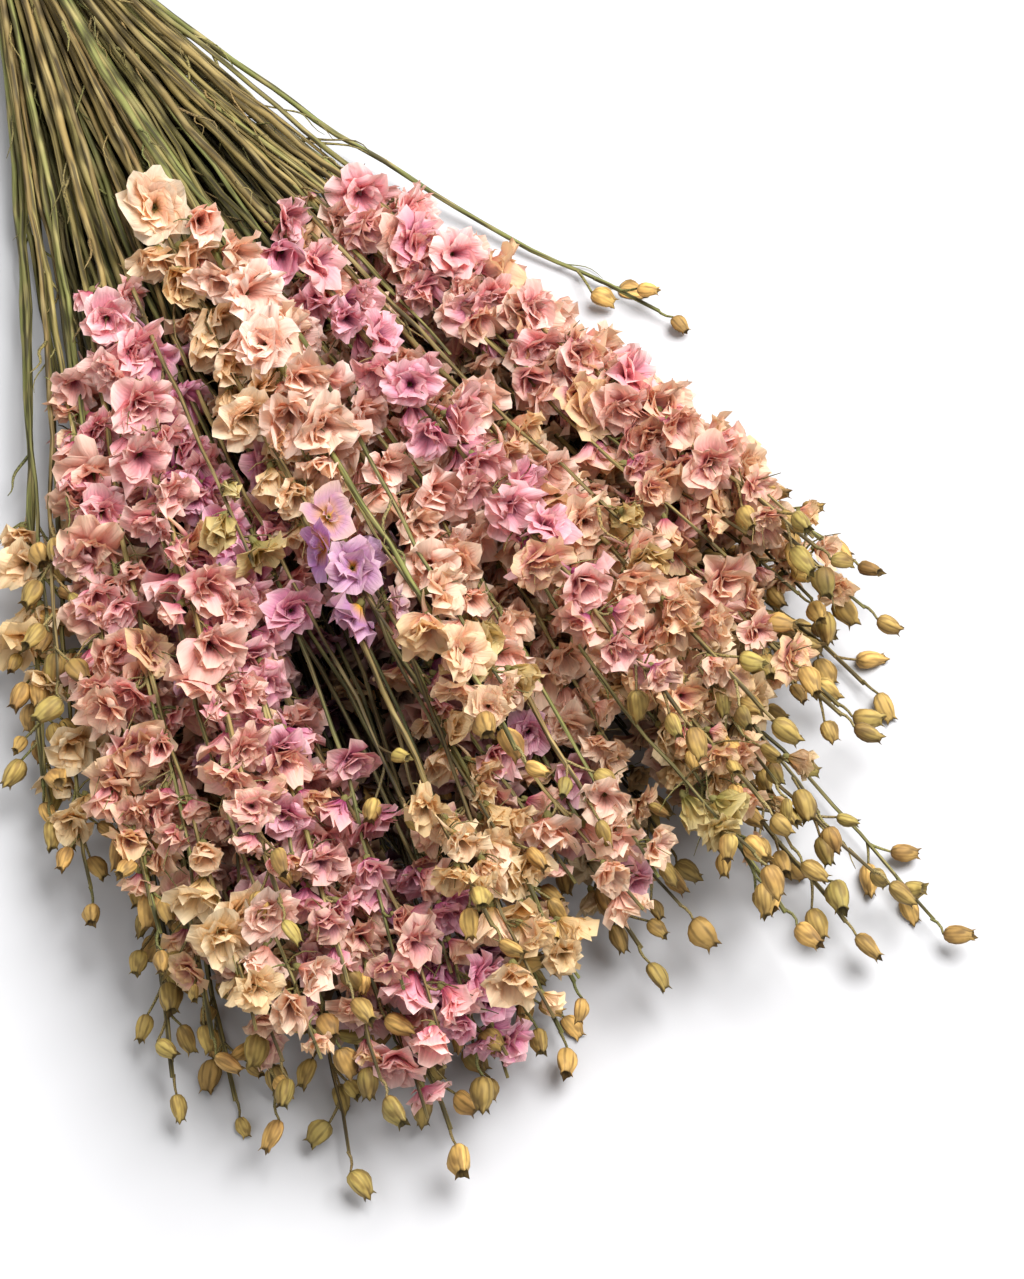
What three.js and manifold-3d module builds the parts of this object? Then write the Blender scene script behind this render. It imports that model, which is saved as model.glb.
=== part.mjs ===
// A dried larkspur bunch that lies on a table: thirty flower stalks held at a narrow waist by raffia.
// Millimetres, +Z up, +X from the cut stem ends towards the flower tips. The origin is the bottom
// centre of the whole bunch, so that it lies on the plane z = 0.

import * as THREE from "three";
import { mergeVertices } from "three/addons/utils/BufferGeometryUtils.js";
import Module from "manifold-3d";

// Driving sizes of the bunch. Lengths along it are measured from the middle of the raffia, and a
// slope is the growth of half the width or half the height for each millimetre along the bunch.
const WAIST_RADIUS = 17;
const BUTT_LENGTH = 152;
const FAN_SLOPE = 0.51;
const RISE_SLOPE = 0.135;
const BUTT_SLOPE = 0.11;
const SETTLE_LENGTH = 230;
const BUTT_SETTLE_LENGTH = 70;
const DROOP_START = 360;
const DROOP_END = 545;
const DROOP_SHARE = 0.22;

// A stem is thickest where it was cut and thin at its tip. It bends in slow waves, and no bend of the
// faceted solid comes closer to an end than the end step.
const STEM_BUTT_RADIUS = 1.45;
const STEM_TIP_RADIUS = 0.75;
const STEM_SIDES = 5;
const STEM_BEND_STEP = 8;
const STEM_BEND_POWER = 1.7;
const STEM_BENDS = 20;
const STEM_END_STEP = 12;
const STEM_WANDER = 0.008;
const WANDER_START = 20;
const WANDER_END = 160;
const WAVE_LENGTH = 300;
const WAVE_LENGTH_SPREAD = 140;
const SHORTEST_BUTT = 0.86;

// The sleeve of florets that grows round a stem, within the stalk's own share of the bunch.
const CELL_RADIUS = 0.12;
const FLORET_REACH = 17;
const FLORET_TURN_LENGTH = 46;
const SLEEVE_SIDES = 6;
const SLEEVE_BORE = 2.6;
const SLEEVE_FLATNESS = 1.9;
const SLEEVE_TAPER = 0.3;
const TOP_SPIKE_START = 150;
const LOW_SPIKE_DELAY = 70;
const SPIKE_START_SPREAD = 40;
const BARE_TIP_LENGTH = 32;
const BARE_TIP_SPREAD = 14;

// Seed capsules, each on its own short stalk near the tip of a stem.
const CAPSULE_LENGTH = 11;
const CAPSULE_RADIUS = 3.7;
const CAPSULE_SIDES = 5;
const CAPSULE_SPACING = 17;
const SEED_CAPSULES = 6;
const TIP_CAPSULES = 2;
const PEDICEL_RADIUS = 0.6;
const PEDICEL_AHEAD = 12;
const PEDICEL_ASIDE = 7;
const PEDICEL_ASIDE_SPREAD = 3;

// Raffia wound flat round the waist, and its knot on top.
const RAFFIA_WIDTH = 14;
const RAFFIA_THICKNESS = 2.2;
const RAFFIA_GAP = 0.35;
const RAFFIA_BORE = WAIST_RADIUS * (1 - CELL_RADIUS) + STEM_BUTT_RADIUS + RAFFIA_GAP;
const RAFFIA_OUTER = RAFFIA_BORE + RAFFIA_THICKNESS;
const KNOT_RADIUS = 5;
const KNOT_FLATNESS = 0.55;
const TAIL_LENGTH = 34;
const TAIL_WIDTH = 4.5;
const TAIL_THICKNESS = 0.8;
const TAIL_HEADINGS = [-23, 80];

// Each stalk's florets, its reach from the raffia to the end of its stem, and how far it strays
// sideways from the others by its tip, as a share of the half width. A "seed" stalk has dropped its
// florets and holds capsules only.
const STALKS = [
  ["peach", 470], ["cream", 475], ["lilac", 495], ["pink", 475], ["pink", 475],
  ["pink", 505], ["peach", 455], ["lilac", 480], ["pink", 455], ["lilac", 470],
  ["cream", 490], ["peach", 450], ["pink", 455], ["cream", 445], ["cream", 480],
  ["lilac", 515], ["pink", 400], ["pink", 420], ["cream", 512], ["lilac", 445],
  ["cream", 455], ["peach", 395], ["pink", 440], ["seed", 500], ["pink", 405],
  ["cream", 342], ["pink", 435], ["peach", 435], ["cream", 468], ["seed", 268, 0.18],
];
const STRAY_START = 90;
const STRAY_END = 300;
const COLOURS = {
  pink: 0xd9929b, peach: 0xe9b698, lilac: 0xc07e9f, cream: 0xe2c48e,
  stem: 0x83804a, raffia: 0xc9a878,
};

// Stalks fill the round waist as seeds fill a sunflower, turned so that two reach its far sides.
const GOLDEN_ANGLE = Math.PI * (3 - Math.sqrt(5));
const FIRST_ANGLE = THREE.MathUtils.degToRad(-20);

const wasm = await Module();
wasm.setup();

// A number from 0 to 1 that looks random and is the same each time.
function scatter(index, salt) {
  const wave = Math.sin(index * 12.9898 + salt * 78.233) * 43758.5453;
  return wave - Math.floor(wave);
}

// Half the bunch's width at a distance x from the raffia.
function halfWidth(x) {
  return Math.hypot(WAIST_RADIUS, (x > 0 ? FAN_SLOPE : BUTT_SLOPE) * x);
}

// Half the bunch's height there: it grows with the fan, and the tips droop.
function halfHeight(x) {
  const grown = Math.hypot(WAIST_RADIUS, (x > 0 ? RISE_SLOPE : BUTT_SLOPE) * x);
  return grown * (1 - DROOP_SHARE * THREE.MathUtils.smoothstep(x, DROOP_START, DROOP_END));
}

// How far above the table the middle of the bunch lies, in half heights, at the share u of its
// width. The fan is a dome: its middle is thick, and its edges lie low.
function domeRise(u) {
  return 0.9 * Math.max(0, 1 - (u / 0.95) ** 2) ** 0.6;
}

// The place (u, v) of a unit disc, carried to the cross section at x. Every section is the disc
// stretched and sheared, so no two stalks ever cross.
function fanPoint(x, u, v) {
  const settled = x > 0
    ? THREE.MathUtils.smoothstep(x, 0, SETTLE_LENGTH)
    : THREE.MathUtils.smoothstep(-x, 0, BUTT_SETTLE_LENGTH);
  const rise = x > 0 ? domeRise(u) : domeRise(0);
  const middle = THREE.MathUtils.lerp(RAFFIA_OUTER, rise * halfHeight(x), settled);
  return new THREE.Vector3(x, u * halfWidth(x), middle + v * halfHeight(x));
}

// Everything that sets one stalk apart from the others.
function makeStalk([family, reach, stray = 0], index) {
  const radius = (1 - CELL_RADIUS) * Math.sqrt((index + 0.5) / STALKS.length);
  const angle = index * GOLDEN_ANGLE + FIRST_ANGLE;
  const v = radius * Math.sin(angle);
  return {
    index, family, reach, stray, v,
    u: radius * Math.cos(angle),
    butt: BUTT_LENGTH * THREE.MathUtils.lerp(SHORTEST_BUTT, 1, scatter(index, 3)),
    spikeStart: TOP_SPIKE_START + LOW_SPIKE_DELAY * (1 - v) / 2 + SPIKE_START_SPREAD * scatter(index, 2),
    spikeEnd: reach - BARE_TIP_LENGTH - BARE_TIP_SPREAD * scatter(index, 4),
    waveLength: WAVE_LENGTH + WAVE_LENGTH_SPREAD * scatter(index, 5),
    wavePhase: 2 * Math.PI * scatter(index, 6),
  };
}

// The middle of a stalk's stem at x, as a place in the disc: it strays and wanders a little.
function stalkPlace(stalk, x) {
  const stray = stalk.stray * THREE.MathUtils.smoothstep(x, STRAY_START, STRAY_END);
  const wander = STEM_WANDER * THREE.MathUtils.smoothstep(Math.abs(x), WANDER_START, WANDER_END);
  const turn = (2 * Math.PI * x) / stalk.waveLength + stalk.wavePhase;
  return {
    u: stalk.u + stray + wander * Math.sin(turn),
    v: stalk.v + wander * Math.cos(turn * 0.8),
  };
}

// Moves a shape made along its own Y axis onto a stalk: Y becomes the distance from the raffia, and
// X and Z become sideways and upwards distances from the stem's middle. Nothing reaches below z = 0.
function layOnStalk(geometry, stalk) {
  const position = geometry.getAttribute("position");
  for (let i = 0; i < position.count; i++) {
    const x = position.getY(i);
    const place = stalkPlace(stalk, x);
    const u = place.u + position.getX(i) / halfWidth(x);
    const v = place.v + position.getZ(i) / halfHeight(x);
    const point = fanPoint(x, u, v);
    position.setXYZ(i, point.x, point.y, Math.max(point.z, 0));
  }
  return closedGeometry(geometry);
}

// A closed mesh with shared vertices, from a shape that has seams. A lathe's faces point inwards
// where its outline runs the other way round, so a negative volume turns all the faces over.
function closedGeometry(geometry) {
  const bare = geometry.clone();
  bare.deleteAttribute("normal");
  bare.deleteAttribute("uv");
  const merged = mergeVertices(bare, 1e-3);
  const kept = [];
  for (let i = 0; i < merged.index.count; i += 3) {
    const [a, b, c] = [0, 1, 2].map((n) => merged.index.getX(i + n));
    if (a !== b && b !== c && c !== a) kept.push([a, b, c]);
  }
  merged.setIndex(kept.flat());
  if (signedVolume(merged) < 0) merged.setIndex(kept.map(([a, b, c]) => [a, c, b]).flat());
  return merged;
}

function signedVolume(geometry) {
  const position = geometry.getAttribute("position");
  let sum = 0;
  for (let i = 0; i < geometry.index.count; i += 3) {
    const [a, b, c] = [0, 1, 2].map((n) =>
      new THREE.Vector3().fromBufferAttribute(position, geometry.index.getX(i + n)));
    sum += a.dot(b.cross(c)) / 6;
  }
  return sum;
}

// three.js geometry to a manifold-3d solid, and back.
function toSolid(geometry) {
  return new wasm.Manifold(new wasm.Mesh({
    numProp: 3,
    vertProperties: new Float32Array(geometry.getAttribute("position").array),
    triVerts: new Uint32Array(geometry.index.array),
  }));
}

function toGeometry(solid) {
  const mesh = solid.getMesh();
  return new THREE.BufferGeometry()
    .setAttribute("position", new THREE.BufferAttribute(new Float32Array(mesh.vertProperties), 3))
    .setIndex(new THREE.BufferAttribute(new Uint32Array(mesh.triVerts), 1));
}

// The distance from the raffia of a stem's n-th bend: the bends are closest together at the waist.
// All stems bend at the same distances, so that straight stretches of neighbours run side by side.
function bendDistance(n) {
  return Math.sign(n) * STEM_BEND_STEP * Math.abs(n) ** STEM_BEND_POWER;
}

// Where a stem starts, bends and ends.
function stemJoints(stalk) {
  const bends = [];
  for (let n = -STEM_BENDS; n <= STEM_BENDS; n++) {
    const x = bendDistance(n);
    if (n !== 0 && x > STEM_END_STEP - stalk.butt && x < stalk.reach - STEM_END_STEP) bends.push(x);
  }
  return [-stalk.butt, ...bends, stalk.reach];
}

// The middle of the stem at x, on the straight stretch between two bends.
function stemMiddle(stalk, x) {
  const joints = stemJoints(stalk);
  const next = joints.findIndex((joint) => joint >= x);
  const [before, after] = [joints[next - 1], joints[next]];
  const [start, end] = [before, after].map((joint) => {
    const place = stalkPlace(stalk, joint);
    return fanPoint(joint, place.u, place.v);
  });
  return start.lerp(end, (x - before) / (after - before));
}

// A tapering stem from its cut end to its tip.
function stemGeometry(stalk) {
  const outline = stemJoints(stalk).map((x) => {
    const share = (x + stalk.butt) / (stalk.reach + stalk.butt);
    return new THREE.Vector2(THREE.MathUtils.lerp(STEM_BUTT_RADIUS, STEM_TIP_RADIUS, share), x);
  });
  outline.unshift(new THREE.Vector2(0, -stalk.butt));
  outline.push(new THREE.Vector2(0, stalk.reach));
  return layOnStalk(new THREE.LatheGeometry(outline, STEM_SIDES), stalk);
}

// How far the sleeve may stand out at x: upwards the stalk's cell is the limit, and sideways, where
// there is more room, the florets' own size is.
function sleeveReach(x) {
  const up = CELL_RADIUS * halfHeight(x);
  return { up, side: Math.min(FLORET_REACH, SLEEVE_FLATNESS * up) };
}

// The whorled florets as one sleeve round the stem: fuller and thinner by turns along it, and
// flatter than it is wide, because the spikes are pressed together.
function sleeveGeometry(stalk) {
  const length = stalk.spikeEnd - stalk.spikeStart;
  const turns = Math.max(3, Math.round(length / FLORET_TURN_LENGTH));
  const outline = [new THREE.Vector2(SLEEVE_BORE, stalk.spikeStart)];
  for (let turn = 0; turn < turns; turn++) {
    for (const [share, fullness] of [[0.12, 0.72], [0.55, 1]]) {
      const along = (turn + share) / turns;
      const x = stalk.spikeStart + length * along;
      const taper = 1 - SLEEVE_TAPER * along ** 2;
      outline.push(new THREE.Vector2(sleeveReach(x).side * fullness * taper, x));
    }
  }
  for (let turn = turns; turn >= 0; turn--) {
    outline.push(new THREE.Vector2(SLEEVE_BORE, stalk.spikeStart + (length * turn) / turns));
  }
  const sleeve = new THREE.LatheGeometry(outline, SLEEVE_SIDES);
  const position = sleeve.getAttribute("position");
  for (let i = 0; i < position.count; i++) {
    const out = Math.hypot(position.getX(i), position.getZ(i));
    const { up, side } = sleeveReach(position.getY(i));
    const lowered = Math.max((out * up) / side, SLEEVE_BORE);
    position.setZ(i, position.getZ(i) * Math.min(1, lowered / out));
  }
  return layOnStalk(sleeve, stalk);
}

// A shape made along +Y, moved to start at one point and to run towards another.
function aim(geometry, from, to) {
  const along = to.clone().sub(from).normalize();
  const turn = new THREE.Quaternion().setFromUnitVectors(new THREE.Vector3(0, 1, 0), along);
  return geometry.applyQuaternion(turn).translate(from.x, from.y, from.z);
}

// One ribbed capsule with its open, toothed mouth.
function capsuleGeometry() {
  const shape = [[0, 0], [0.55, 0.08], [1, 0.48], [0.6, 0.86], [0.72, 1], [0, 0.93]];
  const outline = shape.map(([out, along]) =>
    new THREE.Vector2(out * CAPSULE_RADIUS, along * CAPSULE_LENGTH));
  return new THREE.LatheGeometry(outline, CAPSULE_SIDES);
}

// The stem with its capsules, each on its own short stalk: one at the tip, the others by turns on
// the left and on the right behind it.
function stemWithCapsules(stalk) {
  let solid = toSolid(stemGeometry(stalk));
  const count = stalk.family === "seed" ? SEED_CAPSULES : TIP_CAPSULES;
  for (let n = 0; n < count; n++) {
    const x = stalk.reach - 3 - CAPSULE_SPACING * n;
    const aside = PEDICEL_ASIDE + PEDICEL_ASIDE_SPREAD * scatter(stalk.index, 10 + n);
    const side = n === 0 ? 0 : (n % 2 ? aside : -aside);
    const root = stalkPlace(stalk, x);
    const start = stemMiddle(stalk, x);
    const end = fanPoint(x + PEDICEL_AHEAD, root.u + side / halfWidth(x), root.v);
    end.z = Math.max(end.z, CAPSULE_RADIUS);
    const pedicelLength = start.distanceTo(end) + 1;
    const pedicel = new THREE.CylinderGeometry(PEDICEL_RADIUS, PEDICEL_RADIUS, pedicelLength, 4);
    pedicel.translate(0, pedicelLength / 2, 0);
    const ahead = end.clone().multiplyScalar(2).sub(start).setZ(end.z);
    solid = solid.add(toSolid(closedGeometry(aim(pedicel, start, end))));
    solid = solid.add(toSolid(closedGeometry(aim(capsuleGeometry(), end, ahead))));
  }
  return toGeometry(solid);
}

// The raffia: flat turns round the waist, uneven where they cross, as one ring with a round bore.
function raffiaTurns() {
  const half = RAFFIA_WIDTH / 2;
  const outline = [
    [RAFFIA_BORE, -half], [RAFFIA_OUTER - 0.6, -half], [RAFFIA_OUTER, -half * 0.6],
    [RAFFIA_OUTER - 0.5, -half * 0.2], [RAFFIA_OUTER, half * 0.25], [RAFFIA_OUTER - 0.5, half * 0.55],
    [RAFFIA_OUTER - 0.1, half * 0.8], [RAFFIA_OUTER - 0.8, half], [RAFFIA_BORE, half],
    [RAFFIA_BORE, -half],
  ].map(([radius, along]) => new THREE.Vector2(radius, along));
  const ring = new THREE.LatheGeometry(outline, 28);
  return closedGeometry(ring.rotateZ(-Math.PI / 2).translate(0, 0, RAFFIA_OUTER));
}

// The knot that closes the raffia: a flattened lump on top of the turns, with two tails.
function raffiaKnot() {
  const lump = new THREE.SphereGeometry(KNOT_RADIUS, 10, 6).scale(1, 1.2, KNOT_FLATNESS);
  let solid = toSolid(closedGeometry(lump));
  for (const heading of TAIL_HEADINGS) {
    const tail = new THREE.BoxGeometry(TAIL_WIDTH, TAIL_LENGTH, TAIL_THICKNESS);
    tail.translate(0, TAIL_LENGTH / 2, 0).rotateZ(THREE.MathUtils.degToRad(heading));
    solid = solid.add(toSolid(closedGeometry(tail)));
  }
  const height = 2 * RAFFIA_OUTER + RAFFIA_GAP + KNOT_FLATNESS * KNOT_RADIUS;
  return toGeometry(solid).translate(0, 0, height);
}

function makeMesh(name, geometry, colour) {
  const material = new THREE.MeshStandardMaterial({ color: colour, roughness: 0.9, metalness: 0 });
  const mesh = new THREE.Mesh(geometry, material);
  mesh.name = name;
  return mesh;
}

function makeBunch() {
  const bunch = new THREE.Group();
  for (const stalk of STALKS.map(makeStalk)) {
    const number = String(stalk.index + 1).padStart(2, "0");
    bunch.add(makeMesh(`stem_${number}`, stemWithCapsules(stalk), COLOURS.stem));
    if (stalk.family !== "seed") {
      bunch.add(makeMesh(`florets_${number}`, sleeveGeometry(stalk), COLOURS[stalk.family]));
    }
  }
  bunch.add(makeMesh("raffia_turns", raffiaTurns(), COLOURS.raffia));
  bunch.add(makeMesh("raffia_knot", raffiaKnot(), COLOURS.raffia));
  return bunch;
}

// Stands the bunch on z = 0, with the middle of its box over the origin.
function settle(bunch) {
  const box = new THREE.Box3().setFromObject(bunch);
  const middle = box.getCenter(new THREE.Vector3());
  bunch.position.set(-middle.x, -middle.y, -box.min.z);
  return bunch;
}

export default settle(makeBunch());
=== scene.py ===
"""A bunch of dried larkspur that lies on a pale table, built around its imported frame."""

import logging
import math
from dataclasses import dataclass, field
from enum import Enum

import bpy
import numpy as np
from mathutils import Matrix, Vector


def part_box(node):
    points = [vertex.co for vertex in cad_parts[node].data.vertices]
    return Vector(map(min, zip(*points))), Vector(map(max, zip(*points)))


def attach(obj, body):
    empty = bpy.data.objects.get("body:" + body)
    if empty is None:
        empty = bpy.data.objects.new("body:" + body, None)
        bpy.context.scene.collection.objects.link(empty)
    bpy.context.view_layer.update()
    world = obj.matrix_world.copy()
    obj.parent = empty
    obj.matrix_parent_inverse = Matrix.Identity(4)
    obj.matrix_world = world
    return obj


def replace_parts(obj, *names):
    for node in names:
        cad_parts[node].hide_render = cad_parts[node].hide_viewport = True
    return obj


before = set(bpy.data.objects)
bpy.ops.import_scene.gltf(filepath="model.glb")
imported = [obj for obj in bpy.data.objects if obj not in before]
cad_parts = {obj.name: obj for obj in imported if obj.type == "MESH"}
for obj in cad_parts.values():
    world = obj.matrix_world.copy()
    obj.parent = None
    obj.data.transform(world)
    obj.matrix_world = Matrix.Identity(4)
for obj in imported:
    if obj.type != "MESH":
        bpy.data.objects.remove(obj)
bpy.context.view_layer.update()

log = logging.getLogger("larkspur")

MM = 0.001
UP = np.array([0.0, 0.0, 1.0])
AHEAD = np.array([1.0, 0.0, 0.0])
# A tube or a floret that is this upright takes its sides from AHEAD instead of from UP.
STEEP_TUBE, STEEP_AXIS = 0.93, 0.9
GOLDEN_ANGLE = math.pi * (3 - math.sqrt(5))
# Where a point lies across and along its own petal or tube.
PETAL_MAP = "Petal"
# The same sheets side by side, with a margin round each, so that a finish can be baked.
BAKE_MAP = "OFBake"
BAKE_MARGIN = 0.06
# Each point's tint: how far it goes to its finish's other colour, its brightness, which is a random
# tone with painted shade in it, how far it has faded to straw, and whether it is calyx.
TINT = "Tint"
# The frame's own layout scatters its stalks with the same three numbers.
SCATTER_INDEX, SCATTER_SALT, SCATTER_GAIN = 12.9898, 78.233, 43758.5453


def linear(hex_colour: str, alpha: float = 1.0) -> tuple[float, float, float, float]:
    """Turns an sRGB hex colour to the linear numbers that a shader takes.

    Args:
        hex_colour: Six hex digits with a leading hash.
        alpha: The fourth number.

    Returns:
        Red, green, blue and alpha.
    """
    parts = [int(hex_colour[n : n + 2], 16) / 255 for n in (1, 3, 5)]
    return (*(p / 12.92 if p <= 0.04045 else ((p + 0.055) / 1.055) ** 2.4 for p in parts), alpha)


def scatter(index: int, salt: int) -> float:
    """Gives a number from 0 to 1 that looks random, as the frame's own layout does."""
    wave = math.sin(index * SCATTER_INDEX + salt * SCATTER_SALT) * SCATTER_GAIN
    return wave - math.floor(wave)


def smooth_step(value: np.ndarray, low: float, high: float) -> np.ndarray:
    """Rises smoothly from 0 at low to 1 at high."""
    share = np.clip((value - low) / (high - low), 0, 1)
    return share * share * (3 - 2 * share)


def unit(vectors: np.ndarray) -> np.ndarray:
    """Scales vectors to length 1 along their last axis."""
    return vectors / np.linalg.norm(vectors, axis=-1, keepdims=True)


def add_node(tree: bpy.types.NodeTree, kind: str, settings: dict | None = None,
             **inputs: object) -> bpy.types.Node:
    """Adds one node to a material.

    Args:
        tree: The node tree.
        kind: Blender's node type.
        settings: Attributes of the node, by name.
        **inputs: Each input by its name or by "_" and its number. A socket is linked, and anything
            else is the input's value. Two underscores stand for a space in a name.

    Returns:
        The new node.
    """
    node = tree.nodes.new(kind)
    for name, value in (settings or {}).items():
        setattr(node, name, value)
    for name, value in inputs.items():
        socket = node.inputs[int(name[1:]) if name[0] == "_" else name.replace("__", " ")]
        if isinstance(value, bpy.types.NodeSocket):
            tree.links.new(value, socket)
        else:
            socket.default_value = value
    return node


class Family(Enum):
    """What a stalk carries: its florets' colour family, capsules only, or nothing."""

    PINK = "pink"
    PEACH = "peach"
    LILAC = "lilac"
    CREAM = "cream"
    OLIVE = "olive"
    PURPLE = "purple"
    SEED = "seed"
    NONE = "nothing"


@dataclass(frozen=True)
class Whorl:
    """One ring of petals in a floret. Sizes are in millimetres and angles in degrees.

    Attributes:
        petals: How many petals stand in the ring.
        length: Each petal's length.
        width: Each petal's width.
        opening: The angle between the petal's foot and the floret's axis.
        curl: How much further the petal bends outwards by its tip.
        cup: How far the petal's sides bend towards the axis, as a share of its width.
        ruffle: How deep the folds in its hem are, as a share of its width.
    """

    petals: int
    length: float
    width: float
    opening: float
    curl: float
    cup: float
    ruffle: float


class Bloom(Enum):
    """The ways in which a floret dries."""

    ROSETTE = (
        Whorl(7, 10.6, 9.4, 56, 34, 0.18, 0.15),
        Whorl(6, 8.8, 7.8, 36, 38, 0.22, 0.18),
        Whorl(5, 6.8, 6.2, 16, 34, 0.28, 0.19),
    )
    SKIRT = (
        Whorl(7, 12.6, 10.0, 24, 42, 0.22, 0.19),
        Whorl(6, 10.4, 8.4, 15, 36, 0.24, 0.20),
    )
    CRUMPLED = (
        Whorl(7, 10.9, 9.2, 42, 50, 0.16, 0.22),
        Whorl(6, 9.2, 7.9, 22, 46, 0.22, 0.24),
    )
    HALF_OPEN = (
        Whorl(5, 11.5, 9.4, 20, 18, 0.32, 0.13),
        Whorl(4, 9.0, 7.6, 12, 18, 0.32, 0.16),
    )
    BUD = (Whorl(5, 8.0, 7.4, 26, -46, 0.52, 0.06),)
    OPEN = (
        Whorl(5, 11.8, 11.0, 72, 12, 0.10, 0.08),
        Whorl(3, 5.2, 4.4, 30, 20, 0.25, 0.12),
    )


class Detail(Enum):
    """The points along and across each petal of the outer ring, then of the inner ones."""

    FINE = ((6, 7), (5, 5))
    MIDDLE = ((5, 5), (4, 5))
    COARSE = ((4, 5), (3, 3))


# The usual petal, and the pleats and veins that run along it.
PETAL_WIDTH, PETAL_LENGTH = 9.9 * MM, 10.5 * MM
PLEAT_WIDTH, PLEAT_LENGTH = 0.9 * MM, 7.0 * MM
PLEAT_DEPTH = 0.7 * MM
# Light that has come through a petal is warmer, by these shares of red, green and blue.
WARMTH = (1.0, 0.88, 0.72)
# How much of the light that meets a petal goes through it.
SEE_THROUGH = 0.42
FADED_STRAW = "#E8CB96"


@dataclass(frozen=True)
class PetalFinish:
    """A dried larkspur petal: papery plant tissue, pressed thin and bleached at its hem.

    To the eye it is matt and soft, lets light through, is deepest in colour down its throat, where
    the colour is partly its own and partly painted shade at the floret's middle, is palest along
    its hem, and has fine veins that run from foot to hem.

    Attributes:
        name: The material's name.
        throat: The colour at the petal's foot, as are the next ones an sRGB hex value.
        face: The colour of most of the petal.
        other_face: What the face turns to on some of the florets.
        hem: The colour along the petal's edge.
        calyx: The colour of the little knob that holds the petals.
    """

    name: str
    throat: str
    face: str
    other_face: str
    hem: str
    calyx: str = "#8C8550"

    def make(self) -> bpy.types.Material:
        """Builds the material's nodes.

        Returns:
            The new material.
        """
        material = bpy.data.materials.new(self.name)
        material.use_nodes = True
        tree = material.node_tree
        tree.nodes.clear()
        tint = add_node(tree, "ShaderNodeAttribute", {"attribute_name": TINT})
        dye = add_node(tree, "ShaderNodeSeparateColor", Color=tint.outputs["Color"])
        place = add_node(tree, "ShaderNodeUVMap", {"uv_map": PETAL_MAP})
        axes = add_node(tree, "ShaderNodeSeparateXYZ", Vector=place.outputs["UV"])

        # The face's colour differs from petal to petal.
        face = add_node(
            tree, "ShaderNodeMix", {"data_type": "RGBA"}, _0=dye.outputs["Red"],
            _6=linear(self.face), _7=linear(self.other_face),
        )

        # From foot to hem: throat, face, hem. The throat's deeper colour is partly painted shade
        # where the petals close round the floret's middle.
        foot = add_node(
            tree, "ShaderNodeMapRange", Value=axes.outputs["Y"],
            **{"From__Min": 0.08, "From__Max": 0.56},
        )
        rising = add_node(
            tree, "ShaderNodeMix", {"data_type": "RGBA"}, _0=foot.outputs[0],
            _6=linear(self.throat), _7=face.outputs[2],
        )
        edge = add_node(
            tree, "ShaderNodeMapRange", Value=axes.outputs["Y"],
            **{"From__Min": 0.62, "From__Max": 1.0, "To__Max": 0.7},
        )
        bleached = add_node(
            tree, "ShaderNodeMix", {"data_type": "RGBA"}, _0=edge.outputs[0],
            _6=rising.outputs[2], _7=linear(self.hem),
        )

        # Pleats, with finer veins in them, run along the petal.
        stretch = add_node(
            tree, "ShaderNodeMapping", Vector=place.outputs["UV"],
            Scale=(PETAL_WIDTH / PLEAT_WIDTH, PETAL_LENGTH / PLEAT_LENGTH, 1.0),
        )
        veins = add_node(
            tree, "ShaderNodeTexNoise", {"noise_dimensions": "2D"}, Vector=stretch.outputs[0],
            Scale=1.0, Detail=2.0,
        )
        vein_shade = add_node(
            tree, "ShaderNodeMapRange", Value=veins.outputs["Fac"],
            **{"From__Min": 0.35, "From__Max": 0.65, "To__Min": 0.88, "To__Max": 1.05},
        )
        # The tint's brightness, a random tone with painted shade in it, scales the colour.
        lit = add_node(
            tree, "ShaderNodeMapRange", Value=dye.outputs["Green"],
            **{"To__Min": 0.14, "To__Max": 1.12},
        )
        shade = add_node(
            tree, "ShaderNodeMath", {"operation": "MULTIPLY"},
            _0=vein_shade.outputs[0], _1=lit.outputs[0],
        )
        veined = add_node(
            tree, "ShaderNodeVectorMath", {"operation": "SCALE"},
            _0=bleached.outputs[2], Scale=shade.outputs[0],
        )

        # Some florets have gone to straw, from the hem down.
        straw = add_node(
            tree, "ShaderNodeMath", {"operation": "MULTIPLY"},
            _0=dye.outputs["Blue"], _1=axes.outputs["Y"],
        )
        faded = add_node(
            tree, "ShaderNodeMix", {"data_type": "RGBA"}, _0=straw.outputs[0],
            _6=veined.outputs[0], _7=linear(FADED_STRAW),
        )
        colour = add_node(
            tree, "ShaderNodeMix", {"data_type": "RGBA"}, _0=tint.outputs["Alpha"],
            _6=faded.outputs[2], _7=linear(self.calyx),
        )

        relief = add_node(
            tree, "ShaderNodeBump", Height=veins.outputs["Fac"], Strength=0.6,
            Distance=PLEAT_DEPTH,
        )
        skin = add_node(
            tree, "ShaderNodeBsdfPrincipled", Normal=relief.outputs[0], Roughness=0.72,
            IOR=1.42, **{"Base__Color": colour.outputs[2], "Specular__IOR__Level": 0.28},
        )
        through = add_node(
            tree, "ShaderNodeVectorMath", {"operation": "MULTIPLY"},
            _0=colour.outputs[2], _1=WARMTH,
        )
        glow = add_node(
            tree, "ShaderNodeBsdfTranslucent", Color=through.outputs[0], Normal=relief.outputs[0]
        )
        both = add_node(
            tree, "ShaderNodeMixShader", _0=SEE_THROUGH, _1=skin.outputs[0], _2=glow.outputs[0]
        )
        add_node(tree, "ShaderNodeOutputMaterial", Surface=both.outputs[0])
        return material


# Weathered spots on stems and capsules are about this long.
WEATHER_SPOT = 14.2857 * MM
FIBRE_RELIEF = 0.35 * MM


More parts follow.
